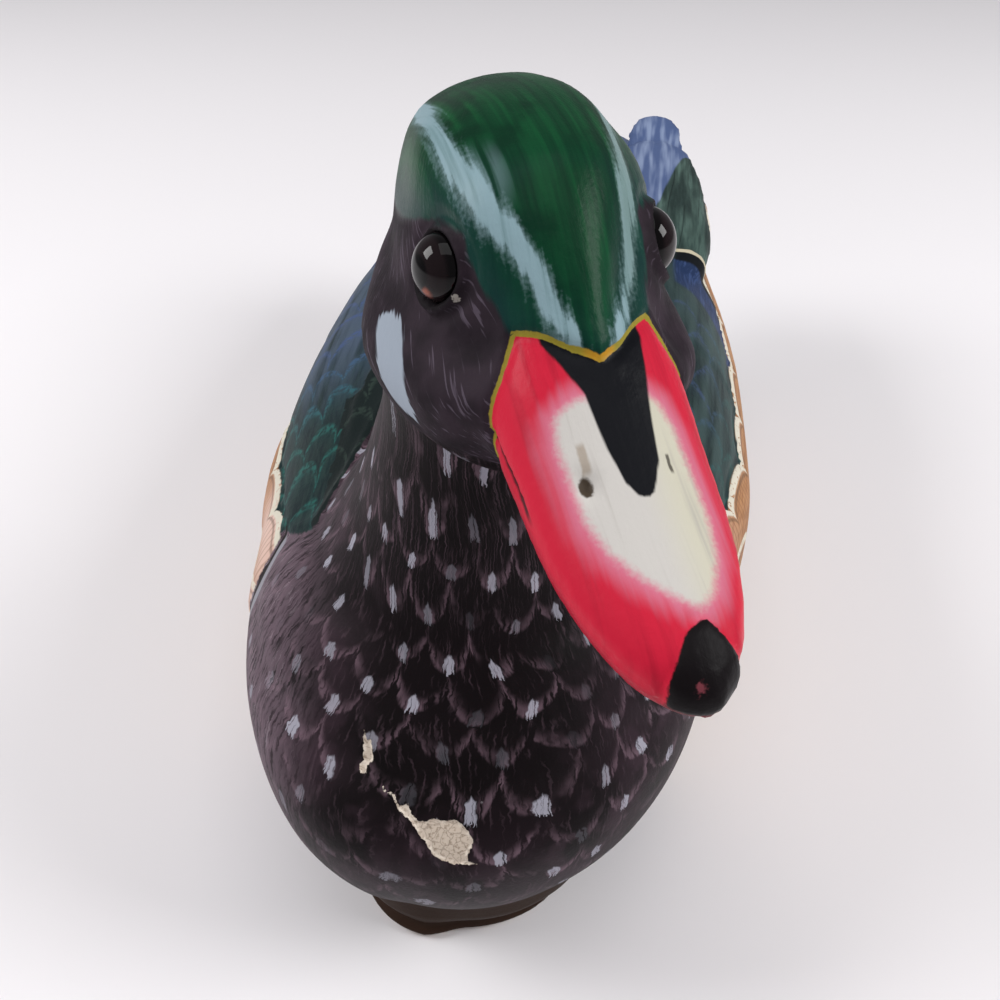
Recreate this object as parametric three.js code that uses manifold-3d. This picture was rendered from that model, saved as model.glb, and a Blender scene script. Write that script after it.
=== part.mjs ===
// Carved and painted wood duck drake decoy with glass eyes.
// Millimetres. +Z is up, the duck faces -Y, and its own left side is +X.
// The origin is the middle of the flat underside, on the body's plane of symmetry.
import * as THREE from "three";
import { mergeVertices } from "three/addons/utils/BufferGeometryUtils.js";
import Module from "manifold-3d";

const wasm = await Module();
wasm.setup();

// Driving dimensions of the body block.
const BREAST_Y = -132; // foremost point of the breast
const TAIL_Y = 161; // rearmost point of the tail
const BREAST_ROUND = 74; // length over which the breast rounds off
const TAIL_ROUND = 24; // the same for the end of the tail
const FLANK_RELIEF = 2; // how far the side feathers stand proud of the folded wings
const FLANK_EDGE = 4; // width of the slope at their upper edge

// The head is a block of its own shape on the neck, turned to the duck's left.
const HEAD = new THREE.Vector3(12, -91, 145); // middle of the head, between the cheeks
const HEAD_TURN = THREE.MathUtils.degToRad(25.2);
const BILL_DROOP = THREE.MathUtils.degToRad(17.6);
const BILL_TURN = THREE.MathUtils.degToRad(-0.8); // the bill is a hair askew on the head
const MOUTH_CORNER = new THREE.Vector3(0, -25, -7.3); // in the head's own frame, on its middle plane

// Glass eyes, half round with a flat back.
const EYE_RADIUS = 5;
const EYE_DOME = 3.9;
const EYE_BACK = 2.2;
const EYE_GAP = 0.35;
const EYE_LID = 1.1; // thickness of the carved eyelid
const EYE_FORWARD = 7.8; // place of the eye in the head's own frame
const EYE_OUT = 14.8;
const EYE_UP = 7.5;

// A smooth curve through [place, value] pairs that never overshoots them.
function through(...points) {
  const last = points.length - 1;
  const slopes = points
    .slice(1)
    .map(([x, v], i) => (v - points[i][1]) / (x - points[i][0]));
  const tangents = points.map((_, i) => {
    if (i === 0 || i === last) return slopes[i === 0 ? 0 : last - 1];
    const [before, after] = [slopes[i - 1], slopes[i]];
    return before * after <= 0 ? 0 : (2 * before * after) / (before + after);
  });
  return (x) => {
    const at = THREE.MathUtils.clamp(x, points[0][0], points[last][0]);
    let i = 0;
    while (i < last - 1 && at > points[i + 1][0]) i++;
    const step = points[i + 1][0] - points[i][0];
    const s = (at - points[i][0]) / step;
    return (
      points[i][1] * (1 + 2 * s) * (1 - s) ** 2 +
      points[i + 1][1] * (3 - 2 * s) * s ** 2 +
      step * (tangents[i] * s * (1 - s) ** 2 - tangents[i + 1] * s ** 2 * (1 - s))
    );
  };
}

// 0 at the very end of a form, rising as a quarter round to 1 over the rounding length.
function rounding(fromEnd, length) {
  const left = THREE.MathUtils.clamp(1 - fromEnd / length, 0, 1);
  return Math.sqrt(1 - left ** 2);
}

const power = (x, p) => Math.sign(x) * Math.abs(x) ** p;

// A ball whose points are moved to pointAt(along, angle): along runs from 0 at the front pole
// to 1 at the back pole, and the angle turns from +X (0) over +Z (a quarter turn).
function shapedBall(around, rings, pointAt) {
  const ball = new THREE.SphereGeometry(1, around, rings).rotateX(Math.PI);
  ball.deleteAttribute("normal");
  ball.deleteAttribute("uv");
  const place = ball.attributes.position;
  for (let i = 0; i < place.count; i++) {
    const [x, y, z] = [place.getX(i), place.getY(i), place.getZ(i)];
    const along = Math.acos(THREE.MathUtils.clamp(-y, -1, 1)) / Math.PI;
    place.setXYZ(i, ...pointAt(along, Math.atan2(z, x)));
  }
  return ball;
}

// Profiles of the body along its length.
const bodyHalfWidth = through(
  [-132, 50], [-100, 49], [-68, 51], [-20, 59], [20, 58], [60, 53], [90, 47.5],
  [112, 39], [135, 31], [161, 26],
);
const bodyTop = through(
  [-132, 79], [-95, 88], [-60, 95], [-20, 99], [20, 101], [60, 96], [100, 88],
  [130, 84], [161, 88],
);
const bodySide = through(
  [-130, 50], [-60, 50], [20, 50], [60, 54], [100, 67], [130, 75], [161, 84],
);
const bodyBottom = through(
  [-130, -5], [-60, -5], [50, -5], [80, 4], [105, 30], [125, 55], [145, 70],
  [161, 79],
);
const underRound = through([-132, 2.05], [-60, 2.5], [60, 2.5], [110, 1.8], [161, 2]);

// The side feathers lie over the lower edge of the wing. Their upper edge is given as degrees
// from the middle of the back; they start behind the breast and run out towards the tail.
const flankTop = through([-70, 58], [-45, 70], [-10, 75], [30, 71], [60, 62], [85, 50]);
const FLANK_FRONT = -62;
const FLANK_BACK = 84;

function flankLift(y, fromTop) {
  const below = THREE.MathUtils.smoothstep(fromTop - flankTop(y), 0, FLANK_EDGE);
  const start = THREE.MathUtils.smoothstep(y - FLANK_FRONT, 0, 14);
  const finish = THREE.MathUtils.smoothstep(FLANK_BACK - y, 0, 40);
  return FLANK_RELIEF * below * start * finish;
}

function bodyPoint(along, angle) {
  const y = THREE.MathUtils.lerp(BREAST_Y, TAIL_Y, (1 - Math.cos(Math.PI * along)) / 2);
  const full = rounding(y - BREAST_Y, BREAST_ROUND) * rounding(TAIL_Y - y, TAIL_ROUND);
  const side = bodySide(y);
  const up = Math.sin(angle) >= 0;
  const reach = up ? bodyTop(y) - side : side - bodyBottom(y);
  const bow = up ? 2.15 : underRound(y);
  const fromTop = Math.abs(90 - THREE.MathUtils.radToDeg(angle));
  const lift = up ? flankLift(y, fromTop) : flankLift(y, 90) * Math.abs(Math.cos(angle)) ** 1.5;
  return [
    full * (bodyHalfWidth(y) + lift) * power(Math.cos(angle), 2 / bow),
    y,
    side + full * reach * power(Math.sin(angle), 2 / bow),
  ];
}

// The neck rises from the front of the body, wide where it meets it.
const neckX = through([40, 0], [95, 1], [125, 4], [160, 9]);
const neckY = through([40, -62], [95, -74], [125, -82], [160, -88]);
const neckHalfWidth = through(
  [40, 44], [62, 45.5], [68, 44.5], [74, 41.5], [80, 36.5], [84, 32], [90, 28], [98, 25],
  [110, 21.5], [122, 18], [150, 17.5],
);
const neckHalfDepth = through(
  [40, 50], [62, 55.5], [68, 52.5], [74, 46], [80, 40], [84, 36], [90, 32], [98, 28],
  [108, 24], [120, 21], [150, 20],
);
const NECK_FOOT = 40;
const NECK_HEAD = 150;

function neckPoint(along, angle) {
  const z = THREE.MathUtils.lerp(NECK_FOOT, NECK_HEAD, along);
  const full = rounding(z - NECK_FOOT, 12) * rounding(NECK_HEAD - z, 12);
  return [
    neckX(z) + full * neckHalfWidth(z) * Math.cos(angle),
    neckY(z) - full * neckHalfDepth(z) * Math.sin(angle),
    z,
  ];
}

// Head sections: the radius from the head's axis at seven angles above the level, each against
// the place along the head. Forward is positive, measured from the middle of the head.
const HEAD_BACK = -44;
const HEAD_FRONT = 30;
const headRadii = [
  [-90, through([-44, 12], [-25, 21], [-5, 25], [12, 24], [30, 17])],
  [-50, through([-44, 12], [-25, 21.5], [-5, 26.3], [12, 24], [30, 17])],
  [-22, through([-44, 12], [-25, 20.2], [-5, 25], [10, 22.5], [25, 19], [30, 16])],
  [5, through([-44, 12], [-25, 16], [-5, 18], [9, 17], [19, 12], [30, 7])],
  [28, through([-44, 13], [-25, 16.8], [-5, 18], [9, 16.4], [19, 11.5], [30, 6])],
  [58, through([-44, 16], [-25, 20.8], [-6, 23.8], [8, 21.6], [19, 13.8], [30, 6])],
  [90, through([-44, 17], [-25, 22.5], [-6, 25.6], [8, 23.6], [19, 15.5], [30, 7])],
];

// The back of the head is carved a little over to the duck's left.
const headLean = through([-44, 3.2], [-20, 1.8], [4, 0], [30, 0]);

function headPoint(along, angle) {
  const u = THREE.MathUtils.lerp(HEAD_FRONT, HEAD_BACK, (1 - Math.cos(Math.PI * along)) / 2);
  const full = rounding(u - HEAD_BACK, 22) * rounding(HEAD_FRONT - u, 16);
  const tilt = THREE.MathUtils.radToDeg(Math.asin(Math.sin(angle)));
  const radius = through(...headRadii.map(([height, profile]) => [height, profile(u)]))(tilt);
  return [
    headLean(u) + full * radius * Math.cos(angle),
    -u,
    full * radius * Math.sin(angle),
  ];
}

// The bill, from its root inside the head to the nail. Level 0 is the line of the mouth.
const BILL_ROOT = -14;
const BILL_TIP = 42.5;
const billHalfWidth = through(
  [-14, 11], [0, 13], [10, 12.5], [20, 11.8], [28, 10.2], [34, 8], [42.5, 4.2],
);
const billRidge = through([-14, 13], [0, 10.4], [10, 8], [22, 6], [34, 5], [42.5, 3.4]);
const billUnder = through([-14, -8], [0, -8], [15, -7.6], [30, -6], [42.5, -4]);
const billBow = through([-14, 3], [0, 2.3], [20, 2], [42.5, 2]);
const BILL_BOW_UNDER = 2.7;

function billPoint(along, angle) {
  const p = THREE.MathUtils.lerp(BILL_TIP, BILL_ROOT, (1 - Math.cos(Math.PI * along)) / 2);
  const full = rounding(p - BILL_ROOT, 4) * rounding(BILL_TIP - p, 8);
  const over = Math.sin(angle) >= 0;
  const bow = over ? billBow(p) : BILL_BOW_UNDER;
  const height = over ? billRidge(p) : -billUnder(p);
  return [
    full * billHalfWidth(p) * power(Math.cos(angle), 2 / bow),
    -p,
    full * height * power(Math.sin(angle), 2 / bow),
  ];
}

// Places a form made in the head's own frame, facing -Y, on the neck.
const headPlace = new THREE.Matrix4()
  .makeRotationZ(HEAD_TURN)
  .setPosition(HEAD);
const billPlace = headPlace
  .clone()
  .multiply(new THREE.Matrix4().makeTranslation(MOUTH_CORNER))
  .multiply(new THREE.Matrix4().makeRotationZ(BILL_TURN))
  .multiply(new THREE.Matrix4().makeRotationX(BILL_DROOP));

// The end of a folded wing is two rounded blades, the longer one under the broader one. Each
// has its middle line (side and level), half width and half thickness along its length.
const upperBlade = {
  front: 30,
  end: 134,
  x: through([30, 34], [90, 33.4], [134, 29]),
  z: through([30, 83], [90, 85.5], [134, 88.5]),
  halfWidth: through([30, 16], [90, 13.6], [134, 11]),
  halfThick: through([30, 9], [90, 5.5], [134, 2.4]),
};
const lowerBlade = {
  front: 60,
  end: 153,
  x: through([60, 30], [110, 30], [153, 29.3]),
  z: through([60, 80], [110, 82], [130, 85.5], [153, 92]),
  halfWidth: through([60, 12], [110, 10.5], [153, 9]),
  halfThick: through([60, 6], [110, 3.6], [153, 2.2]),
};

function bladePoint(blade, side) {
  return (along, angle) => {
    const y = THREE.MathUtils.lerp(blade.front, blade.end, (1 - Math.cos(Math.PI * along)) / 2);
    const full = rounding(y - blade.front, 40) * rounding(blade.end - y, 12);
    return [
      side * blade.x(y) + full * blade.halfWidth(y) * Math.cos(angle),
      y,
      blade.z(y) + full * blade.halfThick(y) * Math.sin(angle),
    ];
  };
}

// Joining and cutting.
function solid(geometry) {
  const merged = mergeVertices(geometry, 1e-4);
  return new wasm.Manifold(
    new wasm.Mesh({
      numProp: 3,
      vertProperties: new Float32Array(merged.attributes.position.array),
      triVerts: new Uint32Array(merged.index.array),
    }),
  );
}

function geometryOf(manifold) {
  const { numProp, numVert, vertProperties, triVerts } = manifold.getMesh();
  const places = new Float32Array(numVert * 3);
  for (let i = 0; i < numVert; i++)
    places.set(vertProperties.subarray(i * numProp, i * numProp + 3), i * 3);
  const geometry = new THREE.BufferGeometry()
    .setAttribute("position", new THREE.BufferAttribute(places, 3))
    .setIndex(new THREE.BufferAttribute(triVerts, 1));
  geometry.computeVertexNormals();
  return geometry;
}

// The eye's own frame: +Y is out of the head.
function eyePlace(side) {
  const out = new THREE.Vector3(side * 0.97, -0.22, 0.1).normalize();
  const turn = new THREE.Quaternion().setFromUnitVectors(new THREE.Vector3(0, 1, 0), out);
  const at = new THREE.Vector3(side * EYE_OUT, -EYE_FORWARD, EYE_UP);
  return headPlace
    .clone()
    .multiply(new THREE.Matrix4().compose(at, turn, new THREE.Vector3(1, 1, 1)));
}

function eyeGeometry(grow) {
  const r = EYE_RADIUS + grow;
  const dome = EYE_DOME + grow;
  const profile = [new THREE.Vector2(0, -EYE_BACK - grow), new THREE.Vector2(r, -EYE_BACK - grow)];
  const steps = 6;
  for (let i = 0; i <= steps; i++) {
    const a = (i / steps) * (Math.PI / 2);
    profile.push(new THREE.Vector2(i === steps ? 0 : r * Math.cos(a), dome * Math.sin(a)));
  }
  const geometry = new THREE.LatheGeometry(profile, 16);
  geometry.deleteAttribute("normal");
  geometry.deleteAttribute("uv");
  return geometry;
}

function carvedDuck() {
  const ball = (around, rings, pointAt, place = new THREE.Matrix4()) =>
    solid(shapedBall(around, rings, pointAt).applyMatrix4(place));
  let duck = ball(42, 48, bodyPoint)
    .add(ball(32, 20, neckPoint))
    .add(ball(36, 28, headPoint, headPlace))
    .add(ball(24, 20, billPoint, billPlace));
  for (const side of [1, -1]) {
    for (const blade of [upperBlade, lowerBlade])
      duck = duck.add(ball(16, 15, bladePoint(blade, side)));
    const lid = new THREE.TorusGeometry(EYE_RADIUS + 0.5, EYE_LID, 6, 16).rotateX(Math.PI / 2);
    lid.deleteAttribute("normal");
    lid.deleteAttribute("uv");
    duck = duck
      .add(solid(lid.applyMatrix4(eyePlace(side))))
      .subtract(solid(eyeGeometry(EYE_GAP).applyMatrix4(eyePlace(side))));
  }
  return duck.trimByPlane([0, 0, 1], 0);
}

const painted = (color) => new THREE.MeshStandardMaterial({ color, roughness: 0.45, metalness: 0 });

const decoy = new THREE.Group();

const duck = new THREE.Mesh(geometryOf(carvedDuck()), painted(0x3a2c2e));
duck.name = "carved_duck";
decoy.add(duck);

for (const [name, side] of [["left_eye", 1], ["right_eye", -1]]) {
  const eye = new THREE.Mesh(
    eyeGeometry(0),
    new THREE.MeshStandardMaterial({ color: 0x1a0d0a, roughness: 0.05, metalness: 0 }),
  );
  eye.name = name;
  eye.applyMatrix4(eyePlace(side));
  decoy.add(eye);
}

export default decoy;
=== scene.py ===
# %% [markdown]
# # A carved and painted wood duck decoy
#
# The real thing is one block of light wood, carved to the shape of a drake, sealed, painted by
# hand with thin oil paint and given two glass eyes. This script dresses the solids from CAD with
# one carved and painted surface and two eyes. It goes the way the carver goes: the rough block
# from section templates, the knife work, then the paint in coats, and last the wear.

# %% Load the frame
import math

import bpy
import numpy as np
from mathutils import Matrix, Vector


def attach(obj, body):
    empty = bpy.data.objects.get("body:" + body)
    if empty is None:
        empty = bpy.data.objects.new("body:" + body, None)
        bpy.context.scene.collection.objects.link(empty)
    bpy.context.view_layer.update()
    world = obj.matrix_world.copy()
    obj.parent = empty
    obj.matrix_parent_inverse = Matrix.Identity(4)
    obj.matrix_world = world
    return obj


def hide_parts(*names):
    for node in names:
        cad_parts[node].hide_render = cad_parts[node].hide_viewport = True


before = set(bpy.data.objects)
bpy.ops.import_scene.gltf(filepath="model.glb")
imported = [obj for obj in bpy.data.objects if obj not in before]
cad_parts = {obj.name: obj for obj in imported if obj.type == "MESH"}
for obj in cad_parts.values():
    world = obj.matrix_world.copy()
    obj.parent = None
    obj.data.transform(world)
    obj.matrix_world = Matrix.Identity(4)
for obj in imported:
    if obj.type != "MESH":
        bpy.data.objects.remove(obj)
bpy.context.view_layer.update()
MM = 0.001

# %% [markdown]
# ## Where the photographer stood
#
# A camera is placed by hand or fitted to the outline. This one was fitted: it stands a hand's
# breadth in front of the bill, looks down on the duck, and so makes the bill large and the tail
# small. It comes first because every later look goes through it.

# %% The camera
CAMERA_PLACE = (27.19, -222.19, 210.37)
CAMERA_AZIMUTH = 8.38
CAMERA_TILT_DOWN = 38.73

lens = bpy.data.cameras.new("camera")
lens.sensor_width = lens.lens = 36
lens.clip_start = 0.01
camera = bpy.data.objects.new("camera", lens)
bpy.context.collection.objects.link(camera)
camera.location = Vector(CAMERA_PLACE) * MM
camera.rotation_euler = (math.radians(90 - CAMERA_TILT_DOWN), 0, math.radians(CAMERA_AZIMUTH))
bpy.context.scene.camera = camera
print("camera at", [round(c, 3) for c in camera.location])

# %% [markdown]
# ## Curves through measured points
#
# A carver draws a side view and a top view and saws the block to them. The same is done here with
# curves through a few measured points. A free spline swings past its points and leaves bumps, so
# this curve keeps its slope flat at a highest or lowest point and never overshoots.

# %% Curve, quarter round and soft step
def smooth_between(at, value, x):
    """A curve through value at the places `at`, read at each x. A value may be a row of numbers,
    one for each x, so that curves can be made between curves."""
    at = np.array(at, float)
    x = np.clip(np.asarray(x, float), at[0], at[-1])
    value = np.array([np.broadcast_to(v, x.shape) for v in value], float)
    slope = np.diff(value, axis=0) / np.diff(at)[:, None]
    before, after = slope[:-1], slope[1:]
    alike = before * after > 0
    middle = np.where(alike, 2 * before * after / np.where(alike, before + after, 1), 0)
    tangent = np.vstack([slope[:1], middle, slope[-1:]])
    i = np.clip(np.searchsorted(at, x, side="right") - 1, 0, len(at) - 2)
    own = np.arange(len(x))
    step = at[i + 1] - at[i]
    s = (x - at[i]) / step
    return (
        value[i, own] * (1 + 2 * s) * (1 - s) ** 2
        + value[i + 1, own] * (3 - 2 * s) * s**2
        + step * (tangent[i, own] * s * (1 - s) ** 2 - tangent[i + 1, own] * s**2 * (1 - s))
    )


def through(*points):
    at, value = zip(*points)
    return lambda x: smooth_between(at, value, x)


def rounding(from_end, length):
    """0 at the very end of a form, rising as a quarter round to 1 over the length."""
    return np.sqrt(1 - np.clip(1 - from_end / length, 0, 1) ** 2)


def power(x, p):
    return np.sign(x) * np.abs(x) ** p


def soft_step(x, start, end):
    t = np.clip((x - start) / (end - start), 0, 1)
    return t * t * (3 - 2 * t)


print("half way up a 10 mm quarter round:", round(float(rounding(5.0, 10.0)), 3))

# %% [markdown]
# ## The body's templates
#
# The body is half a pear lying on its flat side, broadest over the folded wings, and it draws in
# to a thin tail. Its sections are given by the half width, the top, the level of the widest line
# and the bottom, each as a curve along the length. The wing on its right side is a little fuller.
# All sizes are millimetres, +Z is up and the duck faces -Y.

# %% Body profiles
BREAST_Y, TAIL_Y = -132, 161
BREAST_ROUND, TAIL_ROUND = 74, 24
FLANK_RELIEF, FLANK_EDGE = 1.2, 4
FLANK_FRONT, FLANK_BACK = -62, 84
WING_SHOULDER = 2.4  # mm that the right wing stands fuller than the left
SHOULDER_ANGLE, SHOULDER_SPREAD = 138, 16  # degrees around the section

body_half_width = through(
    (-132, 50), (-100, 49), (-68, 51), (-20, 58.6), (20, 57.6), (60, 52.4), (90, 47),
    (112, 39), (135, 31), (161, 26),
)
body_top = through(
    (-132, 79), (-95, 88), (-60, 95), (-20, 99), (20, 101), (60, 96), (100, 88),
    (130, 84), (161, 88),
)
body_side = through(
    (-130, 50), (-60, 50), (20, 50), (60, 54), (100, 67), (130, 75), (161, 84)
)
body_bottom = through(
    (-130, -5), (-60, -5), (50, -5), (80, 4), (105, 30), (125, 55), (145, 70), (161, 79)
)
under_bow = through((-132, 2.05), (-60, 2.5), (60, 2.5), (110, 1.8), (161, 2))
UPPER_BOW = 2.15
# The upper edge of the side feathers, as degrees from the middle of the back.
flank_top = through((-70, 58), (-45, 70), (-10, 75), (30, 71), (60, 62), (85, 50))


def body_fullness(y):
    return rounding(y - BREAST_Y, BREAST_ROUND) * rounding(TAIL_Y - y, TAIL_ROUND)


def flank_lift(y, from_top):
    below = soft_step(from_top - flank_top(y), 0, FLANK_EDGE)
    return (
        FLANK_RELIEF * below * soft_step(y - FLANK_FRONT, 0, 14)
        * soft_step(FLANK_BACK - y, 0, 40)
    )


def along_to(front, back, along):
    return front + (back - front) * (1 - np.cos(np.pi * along)) / 2


def body_point(along, angle):
    y = along_to(BREAST_Y, TAIL_Y, along)
    full, side = body_fullness(y), body_side(y)
    up = np.sin(angle) >= 0
    reach = np.where(up, body_top(y) - side, side - body_bottom(y))
    bow = np.where(up, UPPER_BOW, under_bow(y))
    lift = np.where(
        up,
        flank_lift(y, np.abs(90 - np.degrees(angle))),
        flank_lift(y, 90) * np.abs(np.cos(angle)) ** 1.5,
    )
    near_shoulder = np.exp(-(((np.degrees(angle) - SHOULDER_ANGLE) / SHOULDER_SPREAD) ** 2))
    fuller = WING_SHOULDER * (near_shoulder * soft_step(y, -48, -8) * soft_step(90 - y, 0, 60))
    return np.stack([
        full * (body_half_width(y) + lift) * power(np.cos(angle), 2 / bow) - fuller,
        y,
        side + full * reach * power(np.sin(angle), 2 / bow) + fuller / 2,
    ], axis=1)


print("widest body section:", round(float(body_half_width(np.array([-15.0]))[0]) * 2, 1), "mm")

# %% [markdown]
# ## Neck and head
#
# The neck is a post that flares where it meets the breast. The head is an egg with full cheeks,
# hollow temples at the level of the eyes and a high crown, so round sections won't do: each
# section has its own radius at seven heights around the head's axis. The maker took more off the
# crown's left side than off its right. The head is turned to the duck's left, and is made in its
# own frame first: u forward, v to its left, w up.

# %% Neck and head sections
neck_x = through((40, 0), (84, 0.6), (98, 2), (110, 3.4), (125, 5), (160, 9))
neck_y = through((40, -62), (95, -74), (125, -82), (160, -88))
neck_half_width = through(
    (40, 44), (62, 45.5), (68, 44.5), (74, 41.5), (80, 36.5), (84, 31.5), (90, 27), (98, 23),
    (110, 19.8), (122, 17.5), (150, 17.5),
)
neck_half_depth = through(
    (40, 50), (62, 55.5), (68, 52.5), (74, 46), (80, 40), (84, 36), (90, 32), (98, 28),
    (108, 24), (120, 21), (150, 20),
)
NECK_FOOT, NECK_HEAD = 40, 150


def neck_point(along, angle):
    z = NECK_FOOT + (NECK_HEAD - NECK_FOOT) * along
    full = rounding(z - NECK_FOOT, 12) * rounding(NECK_HEAD - z, 12)
    return np.stack([
        neck_x(z) + full * neck_half_width(z) * np.cos(angle),
        neck_y(z) - full * neck_half_depth(z) * np.sin(angle),
        z,
    ], axis=1)


HEAD = np.array([12, -91, 145])
HEAD_TURN = 25.2
HEAD_BACK, HEAD_FRONT = -44, 30
head_radii = {
    -90: through((-44, 12), (-25, 21), (-5, 25), (12, 24), (30, 17)),
    -50: through((-44, 12), (-25, 21.5), (-5, 26.3), (12, 24), (30, 17)),
    -22: through((-44, 12), (-25, 20.8), (-5, 25.6), (10, 22.9), (25, 19), (30, 16)),
    5: through((-44, 12), (-25, 16.8), (-5, 18.8), (9, 17), (19, 12), (30, 7)),
    28: through((-44, 13), (-25, 18.4), (-5, 19.6), (9, 16.9), (19, 11.5), (30, 6)),
    58: through((-44, 16), (-25, 22.2), (-6, 25.2), (8, 22.2), (19, 13.8), (30, 6)),
    90: through((-44, 17), (-25, 21.8), (-6, 24.6), (8, 22.7), (19, 15.2), (30, 7)),
}
head_lean = through((-44, 3.2), (-20, 1.8), (4, 0), (30, 0))
head_tilt = through((-44, 0.08), (4, 0.08), (18, 0), (30, 0))  # sideways for each mm of height
SHAVED, SHAVED_TILT, SHAVED_SPREAD = 3.1, 56, 14  # mm off the crown's left, and where


def head_point(along, angle):
    u = along_to(HEAD_FRONT, HEAD_BACK, along)
    full = rounding(u - HEAD_BACK, 22) * rounding(HEAD_FRONT - u, 16)
    tilt = np.degrees(np.arcsin(np.sin(angle)))
    radius = smooth_between(list(head_radii), [curve(u) for curve in head_radii.values()], tilt)
    shaved = SHAVED * np.exp(-(((tilt - SHAVED_TILT) / SHAVED_SPREAD) ** 2))
    radius = radius - np.where(np.cos(angle) > 0, shaved, 0)
    height = full * radius * np.sin(angle)
    aside = head_lean(u) + head_tilt(u) * height
    return np.stack([aside + full * radius * np.cos(angle), -u, height], axis=1)


print("head", HEAD_FRONT - HEAD_BACK, "mm long, turned", HEAD_TURN, "degrees")

# %% [markdown]
# ## Bill and wing tips
#
# The bill is a broad spoon, arched above and boxy below, that droops from the face. The folded
# wings end in two rounded blades on each side, which lie over the tail, the longer one below.

# %% Bill and blade sections
BILL_ROOT, BILL_TIP = -14, 42.5
BILL_DROOP, BILL_TURN = 17.6, -0.8
MOUTH_CORNER = np.array([0, -25, -7.3])  # in the head's frame, on its middle plane
bill_half_width = through(
    (-14, 11), (0, 13), (10, 12.5), (20, 11.8), (28, 10.2), (34, 8), (42.5, 4.2)
)
bill_ridge = through((-14, 13), (0, 10.4), (10, 8), (22, 6), (34, 5), (42.5, 3.4))
bill_under = through((-14, -8), (0, -8), (15, -7.6), (30, -6), (42.5, -4))
bill_bow = through((-14, 3), (0, 2.3), (20, 2), (42.5, 2))
BILL_BOW_UNDER = 2.7


def bill_point(along, angle):
    p = along_to(BILL_TIP, BILL_ROOT, along)
    full = rounding(p - BILL_ROOT, 4) * rounding(BILL_TIP - p, 8)
    over = np.sin(angle) >= 0
    bow = np.where(over, bill_bow(p), BILL_BOW_UNDER)
    height = np.where(over, bill_ridge(p), -bill_under(p))
    return np.stack([
        full * bill_half_width(p) * power(np.cos(angle), 2 / bow),
        -p,
        full * height * power(np.sin(angle), 2 / bow),
    ], axis=1)


# Each blade: front, end, then its middle line and half sizes along the length.
upper_blade = (
    30, 134,
    through((30, 34), (90, 33.4), (134, 29)),
    through((30, 83), (90, 85.5), (134, 88.5)),
    through((30, 16), (90, 13.6), (134, 11)),
    through((30, 9), (90, 5.5), (134, 2.4)),
)
lower_blade = (
    60, 153,
    through((60, 30), (110, 30), (153, 29.3)),
    through((60, 80), (110, 82), (130, 85.5), (153, 92)),
    through((60, 12), (110, 10.5), (153, 9)),
    through((60, 6), (110, 3.6), (153, 2.2)),
)


def blade_point(blade, side):
    front, end, middle, level, half_width, half_thick = blade

    def point(along, angle):
        y = along_to(front, end, along)
        full = rounding(y - front, 40) * rounding(end - y, 12)
        return np.stack([
            side * middle(y) + full * half_width(y) * np.cos(angle),
            y,
            level(y) + full * half_thick(y) * np.sin(angle),
        ], axis=1)

    return point


print("bill", BILL_TIP, "mm from the mouth's corner to the nail")

# %% [markdown]
# ## From templates to rough forms
#
# Each form starts as a UV sphere, because a sphere has no edges that would show later. The
# sphere's axis becomes the form's length, and each of its points goes to the place that the
# templates give. The dense spheres stand for the block after the saw and before the knife.

# %% Shape a sphere by its sections
def of_points(piece, what):
    numbers = np.empty(len(piece.data.vertices) * 3)
    piece.data.vertices.foreach_get(what, numbers)
    return numbers.reshape(-1, 3)


def places_of(piece):
    return of_points(piece, "co") / MM


def put_places(piece, places):
    piece.data.vertices.foreach_set("co", (places * MM).ravel())
    piece.data.update()


def turned(places, degrees, axis):
    return places @ np.array(Matrix.Rotation(math.radians(degrees), 3, axis)).T


def on_head(places):
    return turned(places, HEAD_TURN, "Z") + HEAD


def on_bill(places):
    return on_head(turned(turned(places, BILL_DROOP, "X"), BILL_TURN, "Z") + MOUTH_CORNER)


def rough_form(name, around, rings, point_at, placed=lambda places: places):
    bpy.ops.object.select_all(action="DESELECT")
    bpy.ops.mesh.primitive_uv_sphere_add(segments=around, ring_count=rings, radius=1)
    form = bpy.context.object
    form.name = name
    x, y, z = (places_of(form) * MM).T
    along = np.arccos(np.clip(z, -1, 1)) / np.pi
    put_places(form, placed(point_at(along, np.arctan2(y, x))))
    return form


forms = [
    rough_form("body", 192, 160, body_point),
    rough_form("neck", 128, 96, neck_point),
    rough_form("head", 128, 96, head_point, on_head),
    rough_form("bill", 96, 80, bill_point, on_bill),
]
for side in (1, -1):
    for blade in (upper_blade, lower_blade):
        forms.append(rough_form("blade", 48, 64, blade_point(blade, side)))
print(len(forms), "rough forms")

# %% [markdown]
# ## One block
#
# The real duck is one piece of wood, so the forms become one closed skin. A boolean union keeps
# every meeting line sharp and leaves thin triangles there. A voxel remesh melts the forms
# together like a glued and sanded joint and gives even faces, which take carving and paint well.
# The flat underside is cut first, so that its edge is rounded by the same sanding.

# %% Join, cut flat and remesh
VOXEL = 1.45
SANDING = 5

bpy.ops.object.select_all(action="DESELECT")
for form in forms:
    form.select_set(True)
bpy.context.view_layer.objects.active = forms[0]
bpy.ops.object.join()
duck = bpy.context.object
duck.name = "painted_duck"
bpy.ops.object.mode_set(mode="EDIT")
bpy.ops.mesh.select_all(action="SELECT")
bpy.ops.mesh.bisect(plane_co=(0, 0, 0), plane_no=(0, 0, 1), clear_inner=True, use_fill=True)
bpy.ops.object.mode_set(mode="OBJECT")

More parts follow.
